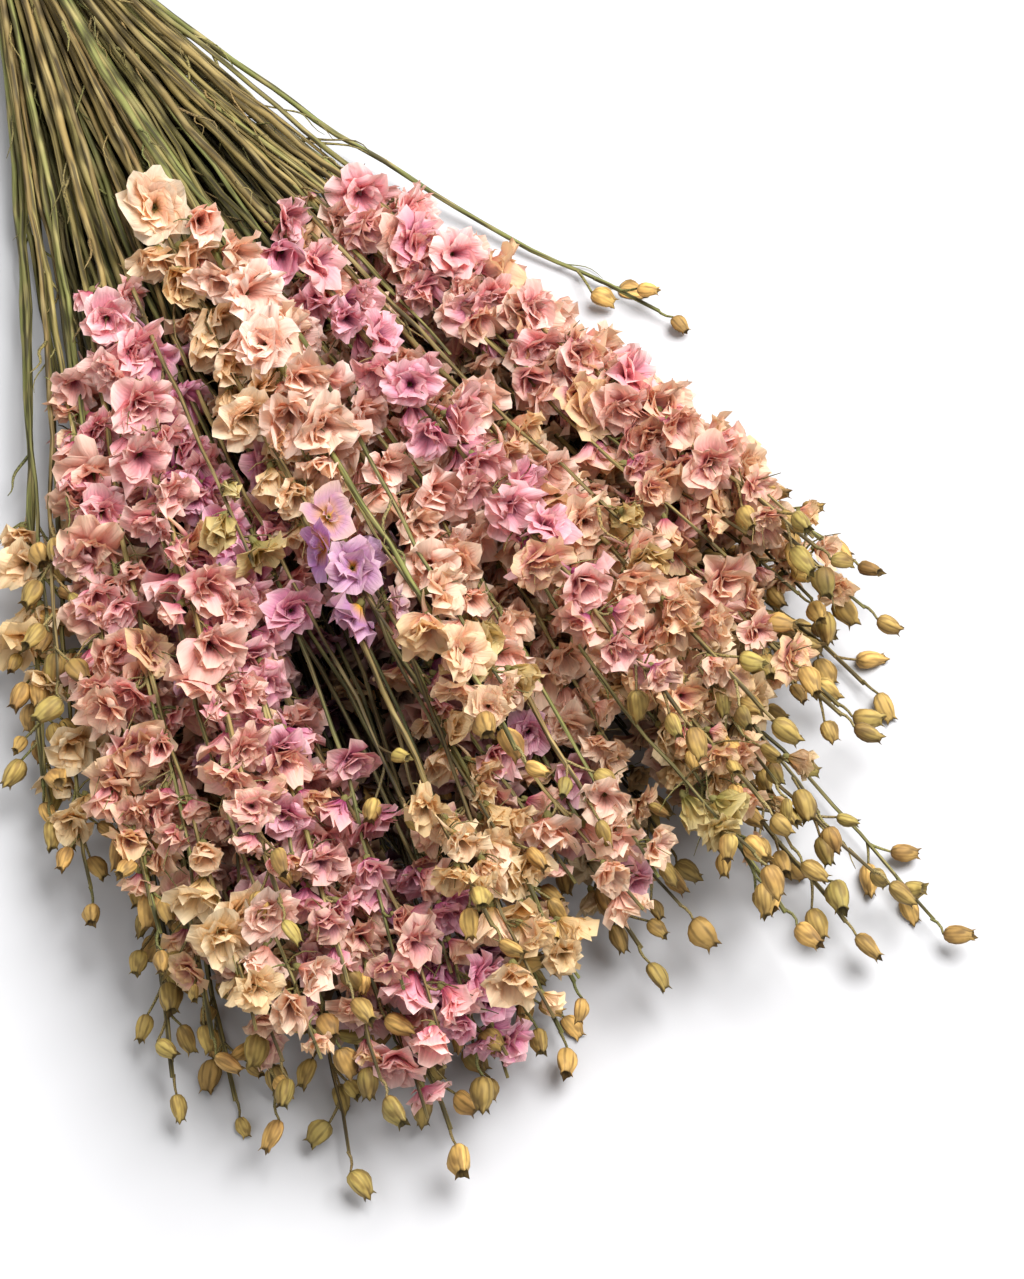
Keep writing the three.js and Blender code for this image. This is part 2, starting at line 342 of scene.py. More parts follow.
@dataclass(frozen=True)
class FibreFinish:
    """A dried plant fibre: a stem, a capsule's wall, or split raffia.

    To the eye it is matt and streaked lengthways, with pale ridges and brown patches.

    Attributes:
        name: The material's name.
        body: The main colour, as are the next ones an sRGB hex value.
        other_body: What it turns to on some pieces.
        streak: The dark colour between the fibres.
        patch: The colour of weathered spots.
        girth: The distance round the piece, in millimetres.
        length: Its length.
        streak_width: The width of a streak.
        streak_length: Its length.
        streak_depth: How strong the streaks are, from 0 to 1.
        roughness: The surface's roughness.
        seams: How many narrow creases run along the piece, side by side round it.
        seam_depth: How dark these are, from 0 to 1.
    """

    name: str
    body: str
    other_body: str
    streak: str
    patch: str
    girth: float
    length: float
    streak_width: float
    streak_length: float
    streak_depth: float = 0.75
    roughness: float = 0.68
    seams: int = 0
    seam_depth: float = 0.0

    def make(self) -> bpy.types.Material:
        """Builds the material's nodes.

        Returns:
            The new material.
        """
        material = bpy.data.materials.new(self.name)
        material.use_nodes = True
        tree = material.node_tree
        tree.nodes.clear()
        tint = add_node(tree, "ShaderNodeAttribute", {"attribute_name": TINT})
        dye = add_node(tree, "ShaderNodeSeparateColor", Color=tint.outputs["Color"])
        place = add_node(tree, "ShaderNodeUVMap", {"uv_map": PETAL_MAP})
        spot = add_node(tree, "ShaderNodeTexCoord")

        body = add_node(
            tree, "ShaderNodeMix", {"data_type": "RGBA"}, _0=dye.outputs["Red"],
            _6=linear(self.body), _7=linear(self.other_body),
        )
        weather = add_node(
            tree, "ShaderNodeTexNoise", Vector=spot.outputs["Object"], Scale=1 / WEATHER_SPOT,
            Detail=1.0,
        )
        patchy = add_node(
            tree, "ShaderNodeMapRange", Value=weather.outputs["Fac"],
            **{"From__Min": 0.5, "From__Max": 0.72, "To__Max": 0.7},
        )
        worn = add_node(
            tree, "ShaderNodeMix", {"data_type": "RGBA"}, _0=patchy.outputs[0],
            _6=body.outputs[2], _7=linear(self.patch),
        )
        stretch = add_node(
            tree, "ShaderNodeMapping", Vector=place.outputs["UV"],
            Scale=(self.girth / self.streak_width, self.length / self.streak_length, 1.0),
        )
        fibre = add_node(
            tree, "ShaderNodeTexNoise", {"noise_dimensions": "2D"}, Vector=stretch.outputs[0],
            Scale=1.0, Detail=1.0,
        )
        dark = add_node(
            tree, "ShaderNodeMapRange", Value=fibre.outputs["Fac"],
            **{"From__Min": 0.56, "From__Max": 0.36, "To__Max": self.streak_depth},
        )
        streaked = add_node(
            tree, "ShaderNodeMix", {"data_type": "RGBA"}, _0=dark.outputs[0],
            _6=worn.outputs[2], _7=linear(self.streak),
        )
        # The tint's brightness, a random tone with painted shade in it, scales the colour.
        lit = add_node(
            tree, "ShaderNodeMapRange", Value=dye.outputs["Green"],
            **{"To__Min": 0.08, "To__Max": 1.2},
        )
        axes = add_node(tree, "ShaderNodeSeparateXYZ", Vector=place.outputs["UV"])
        turn = add_node(
            tree, "ShaderNodeMath", {"operation": "MULTIPLY"},
            _0=axes.outputs["X"], _1=2 * math.pi * self.seams,
        )
        wave = add_node(tree, "ShaderNodeMath", {"operation": "COSINE"}, _0=turn.outputs[0])
        crease = add_node(
            tree, "ShaderNodeMapRange", Value=wave.outputs[0],
            **{"From__Min": -1.0, "From__Max": -0.6, "To__Min": 1 - self.seam_depth},
        )
        shade = add_node(
            tree, "ShaderNodeMath", {"operation": "MULTIPLY"},
            _0=lit.outputs[0], _1=crease.outputs[0],
        )
        colour = add_node(
            tree, "ShaderNodeVectorMath", {"operation": "SCALE"},
            _0=streaked.outputs[2], Scale=shade.outputs[0],
        )
        height = add_node(
            tree, "ShaderNodeMath", {"operation": "ADD"},
            _0=fibre.outputs["Fac"], _1=crease.outputs[0],
        )
        relief = add_node(
            tree, "ShaderNodeBump", Height=height.outputs[0], Strength=0.5,
            Distance=FIBRE_RELIEF,
        )
        skin = add_node(
            tree, "ShaderNodeBsdfPrincipled", Normal=relief.outputs[0], Roughness=self.roughness,
            **{"Base__Color": colour.outputs[0], "Specular__IOR__Level": 0.35},
        )
        add_node(tree, "ShaderNodeOutputMaterial", Surface=skin.outputs[0])
        return material


PETALS = {
    Family.PINK: PetalFinish("dried_petal_pink", "#C85A78", "#F7C0B8", "#F2ACBC", "#FCE3DC"),
    Family.PEACH: PetalFinish("dried_petal_peach", "#DE9480", "#FCD6C4", "#F8C8C2", "#FFEDE2"),
    Family.LILAC: PetalFinish("dried_petal_lilac", "#B4487E", "#F0ACBE", "#E092B8", "#F6D2DA"),
    Family.CREAM: PetalFinish("dried_petal_cream", "#C8A05C", "#F8DFAE", "#FBD9BE", "#FDF1D8"),
    Family.OLIVE: PetalFinish("dried_petal_olive", "#857A3A", "#C6B772", "#DCC288", "#E4D6A4"),
    Family.PURPLE: PetalFinish("dried_petal_purple", "#E0AC38", "#BA7CC0", "#C692CA", "#DCBADC"),
}
STEM = FibreFinish(
    "dried_stem", "#787A42", "#8C7345", "#2A210F", "#A69462",
    girth=9.6, length=676, streak_width=2.4, streak_length=26, streak_depth=0.8,
)
CAPSULE = FibreFinish(
    "dried_capsule_wall", "#D6AA60", "#AA9650", "#5E431F", "#8A5F34",
    girth=23.4, length=11, streak_width=2.6, streak_length=5, streak_depth=0.6,
    seams=6, seam_depth=0.30,
)
RAFFIA = FibreFinish(
    "split_raffia", "#CBAE7C", "#D9C396", "#8E7344", "#B58F55",
    girth=5.4, length=116, streak_width=0.45, streak_length=7.25, roughness=0.75,
)

# How often each way of drying comes in a family, against its others.
BLOOM_SHARES: dict[Family, dict[Bloom, float]] = {
    Family.PINK: {
        Bloom.ROSETTE: 4, Bloom.CRUMPLED: 3, Bloom.SKIRT: 4, Bloom.HALF_OPEN: 1, Bloom.BUD: 0.5,
    },
    Family.PEACH: {Bloom.ROSETTE: 3, Bloom.CRUMPLED: 2, Bloom.SKIRT: 6, Bloom.HALF_OPEN: 1},
    Family.LILAC: {Bloom.ROSETTE: 4, Bloom.CRUMPLED: 3, Bloom.SKIRT: 4, Bloom.HALF_OPEN: 1},
    Family.CREAM: {Bloom.ROSETTE: 1, Bloom.CRUMPLED: 3, Bloom.SKIRT: 5, Bloom.HALF_OPEN: 3},
    Family.OLIVE: {Bloom.CRUMPLED: 2, Bloom.HALF_OPEN: 3, Bloom.BUD: 1},
    Family.PURPLE: {Bloom.OPEN: 3, Bloom.CRUMPLED: 2},
}


@dataclass(frozen=True)
class Finishes:
    """The materials of the whole bunch, made once."""

    stem: bpy.types.Material
    capsule: bpy.types.Material
    raffia: bpy.types.Material
    petals: dict[Family, bpy.types.Material]

    @classmethod
    def mix(cls) -> "Finishes":
        """Makes every material."""
        petals = {family: finish.make() for family, finish in PETALS.items()}
        return cls(STEM.make(), CAPSULE.make(), RAFFIA.make(), petals)


@dataclass
class MeshPile:
    """Gathers strips and sheets of points into one mesh, with the maps that its finish reads.

    Attributes:
        points: Blocks of points.
        faces: Blocks of faces, four corners each.
        caps: Blocks of three-cornered faces.
        places: Each face corner's place across and along its own sheet.
        cells: Each face corner's sheet, counted through the pile.
        cap_places: The same as places, for the three-cornered faces.
        cap_cells: The same as cells, for them.
        tints: Each point's tint.
        count: How many points there are.
        sheets: How many sheets there are.
    """

    points: list[np.ndarray] = field(default_factory=list)
    faces: list[np.ndarray] = field(default_factory=list)
    caps: list[np.ndarray] = field(default_factory=list)
    places: list[np.ndarray] = field(default_factory=list)
    cells: list[np.ndarray] = field(default_factory=list)
    cap_places: list[np.ndarray] = field(default_factory=list)
    cap_cells: list[np.ndarray] = field(default_factory=list)
    tints: list[np.ndarray] = field(default_factory=list)
    count: int = 0
    sheets: int = 0

    def add(self, grid: np.ndarray, tint: np.ndarray, wrap: bool = False,
            capped: bool = False) -> None:
        """Adds sheets that all have the same rows and columns.

        Args:
            grid: Points by sheet, row, column and axis. Rows run along, columns across.
            tint: Four numbers for each sheet, or for each point of each sheet.
            wrap: Whether the last column meets the first, as round a tube.
            capped: Whether the first and last rows of a tube are closed.
        """
        sheets, rows, columns, _ = grid.shape
        steps = columns if wrap else columns - 1
        row, step = np.meshgrid(np.arange(rows - 1), np.arange(steps), indexing="ij")
        corners = [(row, step), (row, step + 1), (row + 1, step + 1), (row + 1, step)]
        near = np.stack([r * columns + c % columns for r, c in corners], axis=-1).reshape(-1, 4)
        place = np.stack(
            [np.stack([c / steps, r / (rows - 1)], axis=-1) for r, c in corners], axis=-2
        ).reshape(-1, 2)
        first = self.count + np.arange(sheets) * rows * columns
        self.faces.append((first[:, None, None] + near).reshape(-1, 4))
        self.places.append(np.tile(place, (sheets, 1)))
        self.cells.append(np.repeat(self.sheets + np.arange(sheets), len(place)))
        self.points.append(grid.reshape(-1, 3))
        full = np.broadcast_to(
            tint[:, None, None, :] if tint.ndim == 2 else tint, (sheets, rows, columns, 4)
        )
        self.tints.append(full.reshape(-1, 4))
        self.count += sheets * rows * columns
        if capped:
            for end, turn in ((0, True), (rows - 1, False)):
                self._close(grid, full, first, end, turn)
        self.sheets += sheets

    def _close(self, grid: np.ndarray, tint: np.ndarray, first: np.ndarray, row: int,
               turn: bool) -> None:
        """Closes one end row of each tube with a fan of faces round a middle point.

        Args:
            grid: The tubes' points by tube, row, side and axis.
            tint: Their tints, in the same order.
            first: The number of each tube's first point.
            row: The row to close.
            turn: Whether the faces run the other way round, as on the first row.
        """
        sheets, rows, columns, _ = grid.shape
        middle = self.count + np.arange(sheets)
        ring = first[:, None] + row * columns + np.arange(columns)
        after = np.roll(ring, -1, axis=1)
        ends = (after, ring) if turn else (ring, after)
        hub = np.broadcast_to(middle[:, None], ring.shape)
        self.caps.append(np.stack([*ends, hub], axis=-1).reshape(-1, 3))
        place = np.full((sheets * columns * 3, 2), [0.5, row / (rows - 1)])
        self.cap_places.append(place)
        self.cap_cells.append(np.repeat(self.sheets + np.arange(sheets), columns * 3))
        self.points.append(grid[:, row].mean(axis=1))
        self.tints.append(tint[:, row, 0])
        self.count += sheets

    def build(self, name: str, material: bpy.types.Material) -> bpy.types.Object:
        """Makes the mesh and its object.

        Args:
            name: The piece's name.
            material: Its finish.

        Returns:
            The new object, at the origin.
        """
        points = np.concatenate(self.points)
        quads = np.concatenate(self.faces)
        caps = np.concatenate(self.caps) if self.caps else np.zeros((0, 3), int)
        place = np.concatenate(self.places + self.cap_places)
        cell = np.concatenate(self.cells + self.cap_cells)
        mesh = bpy.data.meshes.new(name)
        mesh.from_pydata(points, [], quads.tolist() + caps.tolist())
        mesh.uv_layers.new(name=PETAL_MAP).data.foreach_set("uv", place.ravel())
        side = math.ceil(math.sqrt(self.sheets))
        inner = BAKE_MARGIN + (1 - 2 * BAKE_MARGIN) * place
        bake = (np.stack([cell % side, cell // side], axis=-1) + inner) / side
        mesh.uv_layers.new(name=BAKE_MAP).data.foreach_set("uv", bake.ravel())
        mesh.uv_layers[PETAL_MAP].active_render = True
        layer = mesh.color_attributes.new(name=TINT, type="FLOAT_COLOR", domain="POINT")
        layer.data.foreach_set("color", np.concatenate(self.tints).ravel())
        mesh.polygons.foreach_set("use_smooth", np.ones(len(mesh.polygons), dtype=bool))
        mesh.materials.append(material)
        mesh.update()
        piece = bpy.data.objects.new(name, mesh)
        bpy.context.scene.collection.objects.link(piece)
        return piece


@dataclass(frozen=True)
class Fan:
    """How the round waist spreads into a fan with a flat underside. Lengths are in metres.

    Attributes:
        foot: The point on the table under the middle of the waist.
        waist_height: The height of the waist's middle above the table.
        waist_radius: Half the waist's width.
        fan_slope: How fast half the width grows towards the flowers.
        rise_slope: How fast half the height grows there.
        butt_slope: How fast both grow towards the cut ends.
        settle_length: How far towards the flowers the stalks take to come down on the table.
        butt_settle_length: The same towards the cut ends.
        droop_start: Where the spikes start to sink under their weight.
        droop_end: Where they have sunk all the way.
        droop_share: How much lower they are then, as a share of the height.
        dome_height: How high the bunch's middle lies, in half heights.
        dome_edge: The sideways share at which it has come down to the table.
        dome_power: How steeply it does so.
    """

    foot: np.ndarray
    waist_height: float
    waist_radius: float = 17 * MM
    fan_slope: float = 0.51
    rise_slope: float = 0.135
    butt_slope: float = 0.11
    settle_length: float = 230 * MM
    butt_settle_length: float = 70 * MM
    droop_start: float = 360 * MM
    droop_end: float = 545 * MM
    droop_share: float = 0.22
    dome_height: float = 0.9
    dome_edge: float = 0.95
    dome_power: float = 0.6

    def half_width(self, x: np.ndarray) -> np.ndarray:
        """Half the bunch's width at a distance x from the waist."""
        slope = np.where(x > 0, self.fan_slope, self.butt_slope)
        return np.hypot(self.waist_radius, slope * x)

    def half_height(self, x: np.ndarray) -> np.ndarray:
        """Half the bunch's height at a distance from the waist.

        Args:
            x: Distances from the waist.

        Returns:
            A height for each.
        """
        slope = np.where(x > 0, self.rise_slope, self.butt_slope)
        droop = self.droop_share * smooth_step(x, self.droop_start, self.droop_end)
        return np.hypot(self.waist_radius, slope * x) * (1 - droop)

    def dome_rise(self, u: np.ndarray) -> np.ndarray:
        """How high the bunch's middle lies at a share u of its width, in half heights."""
        return self.dome_height * np.maximum(0, 1 - (u / self.dome_edge) ** 2) ** self.dome_power

    def point(self, x: np.ndarray, u: np.ndarray, v: np.ndarray) -> np.ndarray:
        """Carries places of a unit disc to the cross sections at x.

        Args:
            x: Distances from the waist, towards the flowers.
            u: The disc's sideways places.
            v: The disc's upward places.

        Returns:
            The points, one row each.
        """
        settled = np.where(
            x > 0,
            smooth_step(x, 0, self.settle_length),
            smooth_step(-x, 0, self.butt_settle_length),
        )
        rise = np.where(x > 0, self.dome_rise(u), self.dome_rise(np.zeros(1)))
        height = self.half_height(x)
        middle = self.waist_height * (1 - settled) + rise * height * settled
        place = np.stack([x, u * self.half_width(x), middle + v * height], axis=-1)
        return place + self.foot

    def sideways_share(self, points: np.ndarray, x: np.ndarray) -> np.ndarray:
        """How far to the side points at x lie, as shares of the half width there."""
        return (points[..., 1] - self.foot[1]) / self.half_width(x)


# A stalk's sideways and upward place in the waist, as shares of its radius.
Place = tuple[float, float]


@dataclass(frozen=True)
class Patch:
    """A stretch of the fan where no florets have stayed, and the stems show.

    Attributes:
        start: Where it starts, in millimetres from the waist.
        end: Where it ends.
        low: Its one side, as a share of the fan's half width.
        high: Its other side.
        hem: How far to both sides of its start and end the shade in it fades.
        side: The same for its sides.
    """

    start: float
    end: float
    low: float
    high: float
    # hem: How far to both sides of its start and end the painted shade in it fades.
    hem: float = 15.0
    side: float = 0.03

    def holds(self, x: np.ndarray, u: np.ndarray) -> np.ndarray:
        """Tells which places lie in the patch."""
        return (x > self.start * MM) & (x < self.end * MM) & (u > self.low) & (u < self.high)

    def depth(self, x: np.ndarray, u: np.ndarray) -> np.ndarray:
        """Rises from 0 at the patch's rim to 1 in its middle; it sets the hollow's painted shade on
        stems.

        Args:
            x: Distances from the waist.
            u: Sideways places, as shares of the half width.

        Returns:
            A number for each place.
        """
        start, end, hem, side = self.start * MM, self.end * MM, self.hem * MM, self.side
        rises = (
            smooth_step(x, start - hem, start + hem),
            1 - smooth_step(x, end - hem, end + hem),
            smooth_step(u, self.low - side, self.low + side),
            1 - smooth_step(u, self.high - side, self.high + side),
        )
        return math.prod(rises)


# Gaps between the spikes on top, where the stems show.
BARE_PATCHES = [
    Patch(160, 288, 0.29, 0.45),
    Patch(235, 315, 0.06, 0.17),
    Patch(305, 362, -0.05, 0.03),
    Patch(316, 374, -0.21, -0.09),
    Patch(240, 330, 0.42, 0.50),
    Patch(405, 440, -0.02, 0.09),
]
# The hollow in the middle, where only the lowest stalks have kept their florets; its stems get
# painted shade.
HOLLOW = Patch(338, 430, -0.26, -0.09)
# Where the first florets grow, in millimetres from the waist, by the sideways share.
BLOSSOM_LINE = [
    (-1.0, 330), (-0.85, 250), (-0.72, 215), (-0.60, 190), (-0.40, 165), (-0.15, 158), (0.0, 180),
    (0.15, 190), (0.30, 190), (0.42, 160), (0.60, 150), (0.75, 190), (0.90, 280), (1.0, 320),
]
# How far the tips reach on the table, in the same measures.
OUTLINE = [
    (-1.0, 300), (-0.86, 343), (-0.76, 367), (-0.63, 461), (-0.45, 512), (-0.24, 530), (-0.12, 509),
    (0.2, 515), (0.41, 510), (0.47, 464), (0.64, 444), (0.84, 395), (1.0, 300),
]


def read_line(line: list[tuple[float, float]], u: np.ndarray | float) -> np.ndarray | float:
    """Reads one of the two lines above at sideways shares u, in millimetres from the waist."""
    return np.interp(u, *np.array(line).T)


def inside(x: np.ndarray, u: np.ndarray) -> np.ndarray:
    """Tells how far places lie inside the bunch, from 0 at its edge to 1, which sets the painted
    shade.

    Args:
        x: Distances from the waist.
        u: Sideways places, as shares of the half width.

    Returns:
        A number for each place.
    """
    deep_behind_rim, pale_behind_rim = 80 * MM, 25 * MM
    deep_to_side, pale_from_side = 0.5, 0.75
    rim = read_line(OUTLINE, u) * MM
    deep = 1 - smooth_step(x, rim - deep_behind_rim, rim - pale_behind_rim)
    return deep * (1 - smooth_step(np.abs(u), deep_to_side, pale_from_side))


# Stalks run straight through the tie, wave between these distances and further, and have left their
# place sideways by the last one.
WANDER_START, WANDER_END, STRAY_END = 20 * MM, 160 * MM, 300 * MM
# How many upward waves come to one sideways wave.
UPWARD_WAVES = 0.8


@dataclass
class Stalk:
    """One flower stalk: its place in the fan and what grows on it. Lengths are in metres.

    Attributes:
        number: The stalk's number, from 1. The frame has solids for the first thirty.
        family: What it carries.
        u: Its sideways place in the waist, as a share of the radius.
        v: Its upward place there.
        reach: From the waist to the end of its stem.
        butt: From the waist to its cut end.
        spike_start: Where its florets start.
        spike_end: Where they end.
        wave_length: The length of its slow bends.
        wave_phase: Where those start.
        wander: How far it waves in the fan, as a share of the half width.
        stray: How far it leaves its place sideways by its tip, as such a share.
        stray_start: Where it starts to.
    """

    number: int
    family: Family
    u: float
    v: float
    reach: float
    butt: float
    spike_start: float
    spike_end: float
    wave_length: float
    wave_phase: float
    wander: float = 0.008
    stray: float = 0.0
    stray_start: float = 90 * MM

    def path(self, fan: Fan, x: np.ndarray) -> np.ndarray:
        """Follows the middle of the stem.

        Args:
            fan: The bunch's shape.
            x: Distances from the waist.

        Returns:
            The points there, one row each.
        """
        wander = self.wander * smooth_step(np.abs(x), WANDER_START, WANDER_END)
        turn = 2 * math.pi * x / self.wave_length + self.wave_phase
        u = self.u + self.stray * smooth_step(x, self.stray_start, STRAY_END)
        v = self.v + wander * np.cos(turn * UPWARD_WAVES)
        return fan.point(x, u + wander * np.sin(turn), v)

    def axes(self, fan: Fan, x: np.ndarray) -> tuple[np.ndarray, np.ndarray, np.ndarray]:
        """The stem's own directions at x.

        Args:
            fan: The bunch's shape.
            x: Distances from the waist.

        Returns:
            The directions along the stem, to its left and upwards from it.
        """
        step = 1 * MM
        along = unit(self.path(fan, x + step) - self.path(fan, x - step))
        left = unit(np.cross(UP, along))
        return along, left, np.cross(along, left)


def rest_on_table(points: np.ndarray) -> np.ndarray:
    """Presses whatever would reach below the table flat on it.

    Args:
        points: Points of any grid.

    Returns:
        The same points, which sink ever more slowly from a little above the table.
    """
    lowest, start = 0.3 * MM, 3.5 * MM
    span = start - lowest
    low = lowest + span * np.exp((np.minimum(points[..., 2], start) - start) / span)
    pressed = points.copy()
    pressed[..., 2] = np.where(points[..., 2] < start, low, points[..., 2])
    return pressed


def tube(paths: np.ndarray, radii: np.ndarray, sides: int, flat: float = 1.0) -> np.ndarray:
    """Lays rings of points round paths.

    Args:
        paths: Points by path, row and axis.
        radii: The radius by path and row, or by path, row and side.
        sides: Points in each ring.
        flat: The ring's height as a share of its width.

    Returns:
        Points by path, row, side and axis.
    """
    along = unit(np.gradient(paths, axis=1))
    steep = np.abs(along[:, :, 2]).max(axis=1) > STEEP_TUBE
    lean = np.where(steep[:, None], AHEAD, UP)[:, None, :]
    side = unit(np.cross(np.broadcast_to(lean, along.shape), along))
    upward = np.cross(along, side)
    turn = np.arange(sides) * 2 * math.pi / sides
    across = side[:, :, None, :] * np.cos(turn)[:, None]
    ring = across + upward[:, :, None, :] * flat * np.sin(turn)[:, None]
    thick = radii[..., None] if radii.ndim == 2 else radii
    return paths[:, :, None, :] + ring * thick[..., None]


def bow(start: np.ndarray, leave: np.ndarray, end: np.ndarray, rows: int) -> np.ndarray:
    """Draws curves that leave each start in one direction and bend over to its end.

    Args:
        start: The curves' first points.
        leave: How far and in which direction they set out.
        end: Their last points.
        rows: Points on each curve.

    Returns:
        Points by curve, row and axis.
    """
    t = np.linspace(0, 1, rows)[None, :, None]
    middle = (start + leave)[:, None, :]
    return start[:, None, :] * (1 - t) ** 2 + middle * 2 * t * (1 - t) + end[:, None, :] * t**2


def turned(axis: np.ndarray, roll: float) -> np.ndarray:
    """Makes a rotation that carries +Z to an axis.

    Args:
        axis: A unit vector.
        roll: The turn about that axis, in radians.

    Returns:
        Three rows: where X, Y and Z go.
    """
    lean = AHEAD if abs(axis[2]) > STEEP_AXIS else UP
    first = unit(np.cross(lean, axis))
    second = np.cross(axis, first)
    return np.stack(
        [
            first * math.cos(roll) + second * math.sin(roll),
            second * math.cos(roll) - first * math.sin(roll),
            axis,
        ]
    )


def grow_whorl(whorl: Whorl, rng: np.random.Generator, rows: int, columns: int) -> np.ndarray:
    """Grows one ring of petals round +Z from a foot at the origin.

    Args:
        whorl: The ring's sizes.
        rng: The source of the petals' differences.
        rows: Points along a petal.
        columns: Points across it.

    Returns:
        Points by petal, row, column and axis, in metres.
    """
    count = whorl.petals

    def vary(low: float, high: float) -> np.ndarray:
        """Gives each petal a number of its own."""
        return rng.uniform(low, high, (count, 1, 1))

    across = np.linspace(-1, 1, columns)[None, None, :]
    share = np.linspace(0, 1, rows)[None, :, None]
    # The hem is wavy, and round towards the petal's corners.
    scallop_depth, corner_depth, corner_power = 0.04, 0.32, 3.6
    scallop = scallop_depth * np.sin(math.pi * (vary(1.5, 2.6) * across + vary(0, 2)))
    length = whorl.length * MM * vary(0.84, 1.1)
    reach = length * (1.0 + scallop - corner_depth * np.abs(across) ** corner_power)
    # The petal opens at its foot and bends outwards from there.
    foot_angle = np.radians(whorl.opening + vary(-13, 13))
    angle = foot_angle + np.radians(whorl.curl * vary(0.45, 1.5)) * share**1.5
    angle = np.broadcast_to(angle, (count, rows, 1))
    middle = (angle[:, 1:] + angle[:, :-1]) / 2
    step = reach / (rows - 1)
    none = np.zeros((count, 1, columns))
    out = np.concatenate([none, np.cumsum(np.sin(middle) * step, axis=1)], axis=1)
    rise = np.concatenate([none, np.cumsum(np.cos(middle) * step, axis=1)], axis=1)

    # It is narrow at its foot, widest past its middle and a little narrower at its hem.
    foot_width, gained_width, widest, hem_loss = 0.26, 0.92, 0.6, 0.34
    width = whorl.width * MM * vary(0.85, 1.12)
    swell = foot_width + gained_width * smooth_step(share, 0, widest)
    breadth = width * swell * np.sqrt(1 - hem_loss * share**4)
    side = across * breadth / 2
    # Its sides are cupped and tilted, and its hem is ruffled, least at the corners.
    tilt, corner_calm, wave_depth, ripple_depth = 0.09, 0.55, 1.25, 0.15
    fold = breadth * whorl.cup * np.abs(across) ** 1.5 + breadth * tilt * across
    waves = wave_depth * np.sin(math.pi * (vary(0.9, 2.0) * across + vary(0, 2)))
    ripples = ripple_depth * np.sin(math.pi * (vary(2.6, 3.6) * across + vary(0, 2)))
    soft = 1 - corner_calm * across**2
    fold = fold + width * whorl.ruffle * share**1.3 * soft * (waves + ripples)
    twist = vary(-0.35, 0.35) * share
    side, fold = (
        side * np.cos(twist) - fold * np.sin(twist),
        side * np.sin(twist) + fold * np.cos(twist),
    )

    foot_radius = 0.7 * MM
    turn = (np.arange(count)[:, None, None] + vary(-0.16, 0.16)) * 2 * math.pi / count
    radial = foot_radius + out - fold * np.cos(angle)
    return np.stack(
        [
            radial * np.cos(turn) - side * np.sin(turn),
            radial * np.sin(turn) + side * np.cos(turn),
            rise + fold * np.sin(angle),
        ],
        axis=-1,
    )


# Slow bends of each stem: their lengths by turns to the side and upwards, and their depth, which
# grows from nothing between two distances from the waist.
KINK_LENGTHS = (39 * MM, 47 * MM, 67 * MM, 88 * MM)
KINK_START, KINK_END, KINK_DEPTH_MM = 25 * MM, 120 * MM, 0.35
FEWEST_STEM_ROWS = 16
# The radius of the short side stalks.
SIDE_STALK = 0.5 * MM
# How much painted shade darkens stems deep in the bunch, and in the hollow by their layer. The
# upper layer starts at TOP_LAYER.
DEEP_STEM_PAINTED_SHADE, LOW_HOLLOW_PAINTED_SHADE, TOP_HOLLOW_PAINTED_SHADE, TOP_LAYER = 0.75, 0.62, 0.3, 0.5


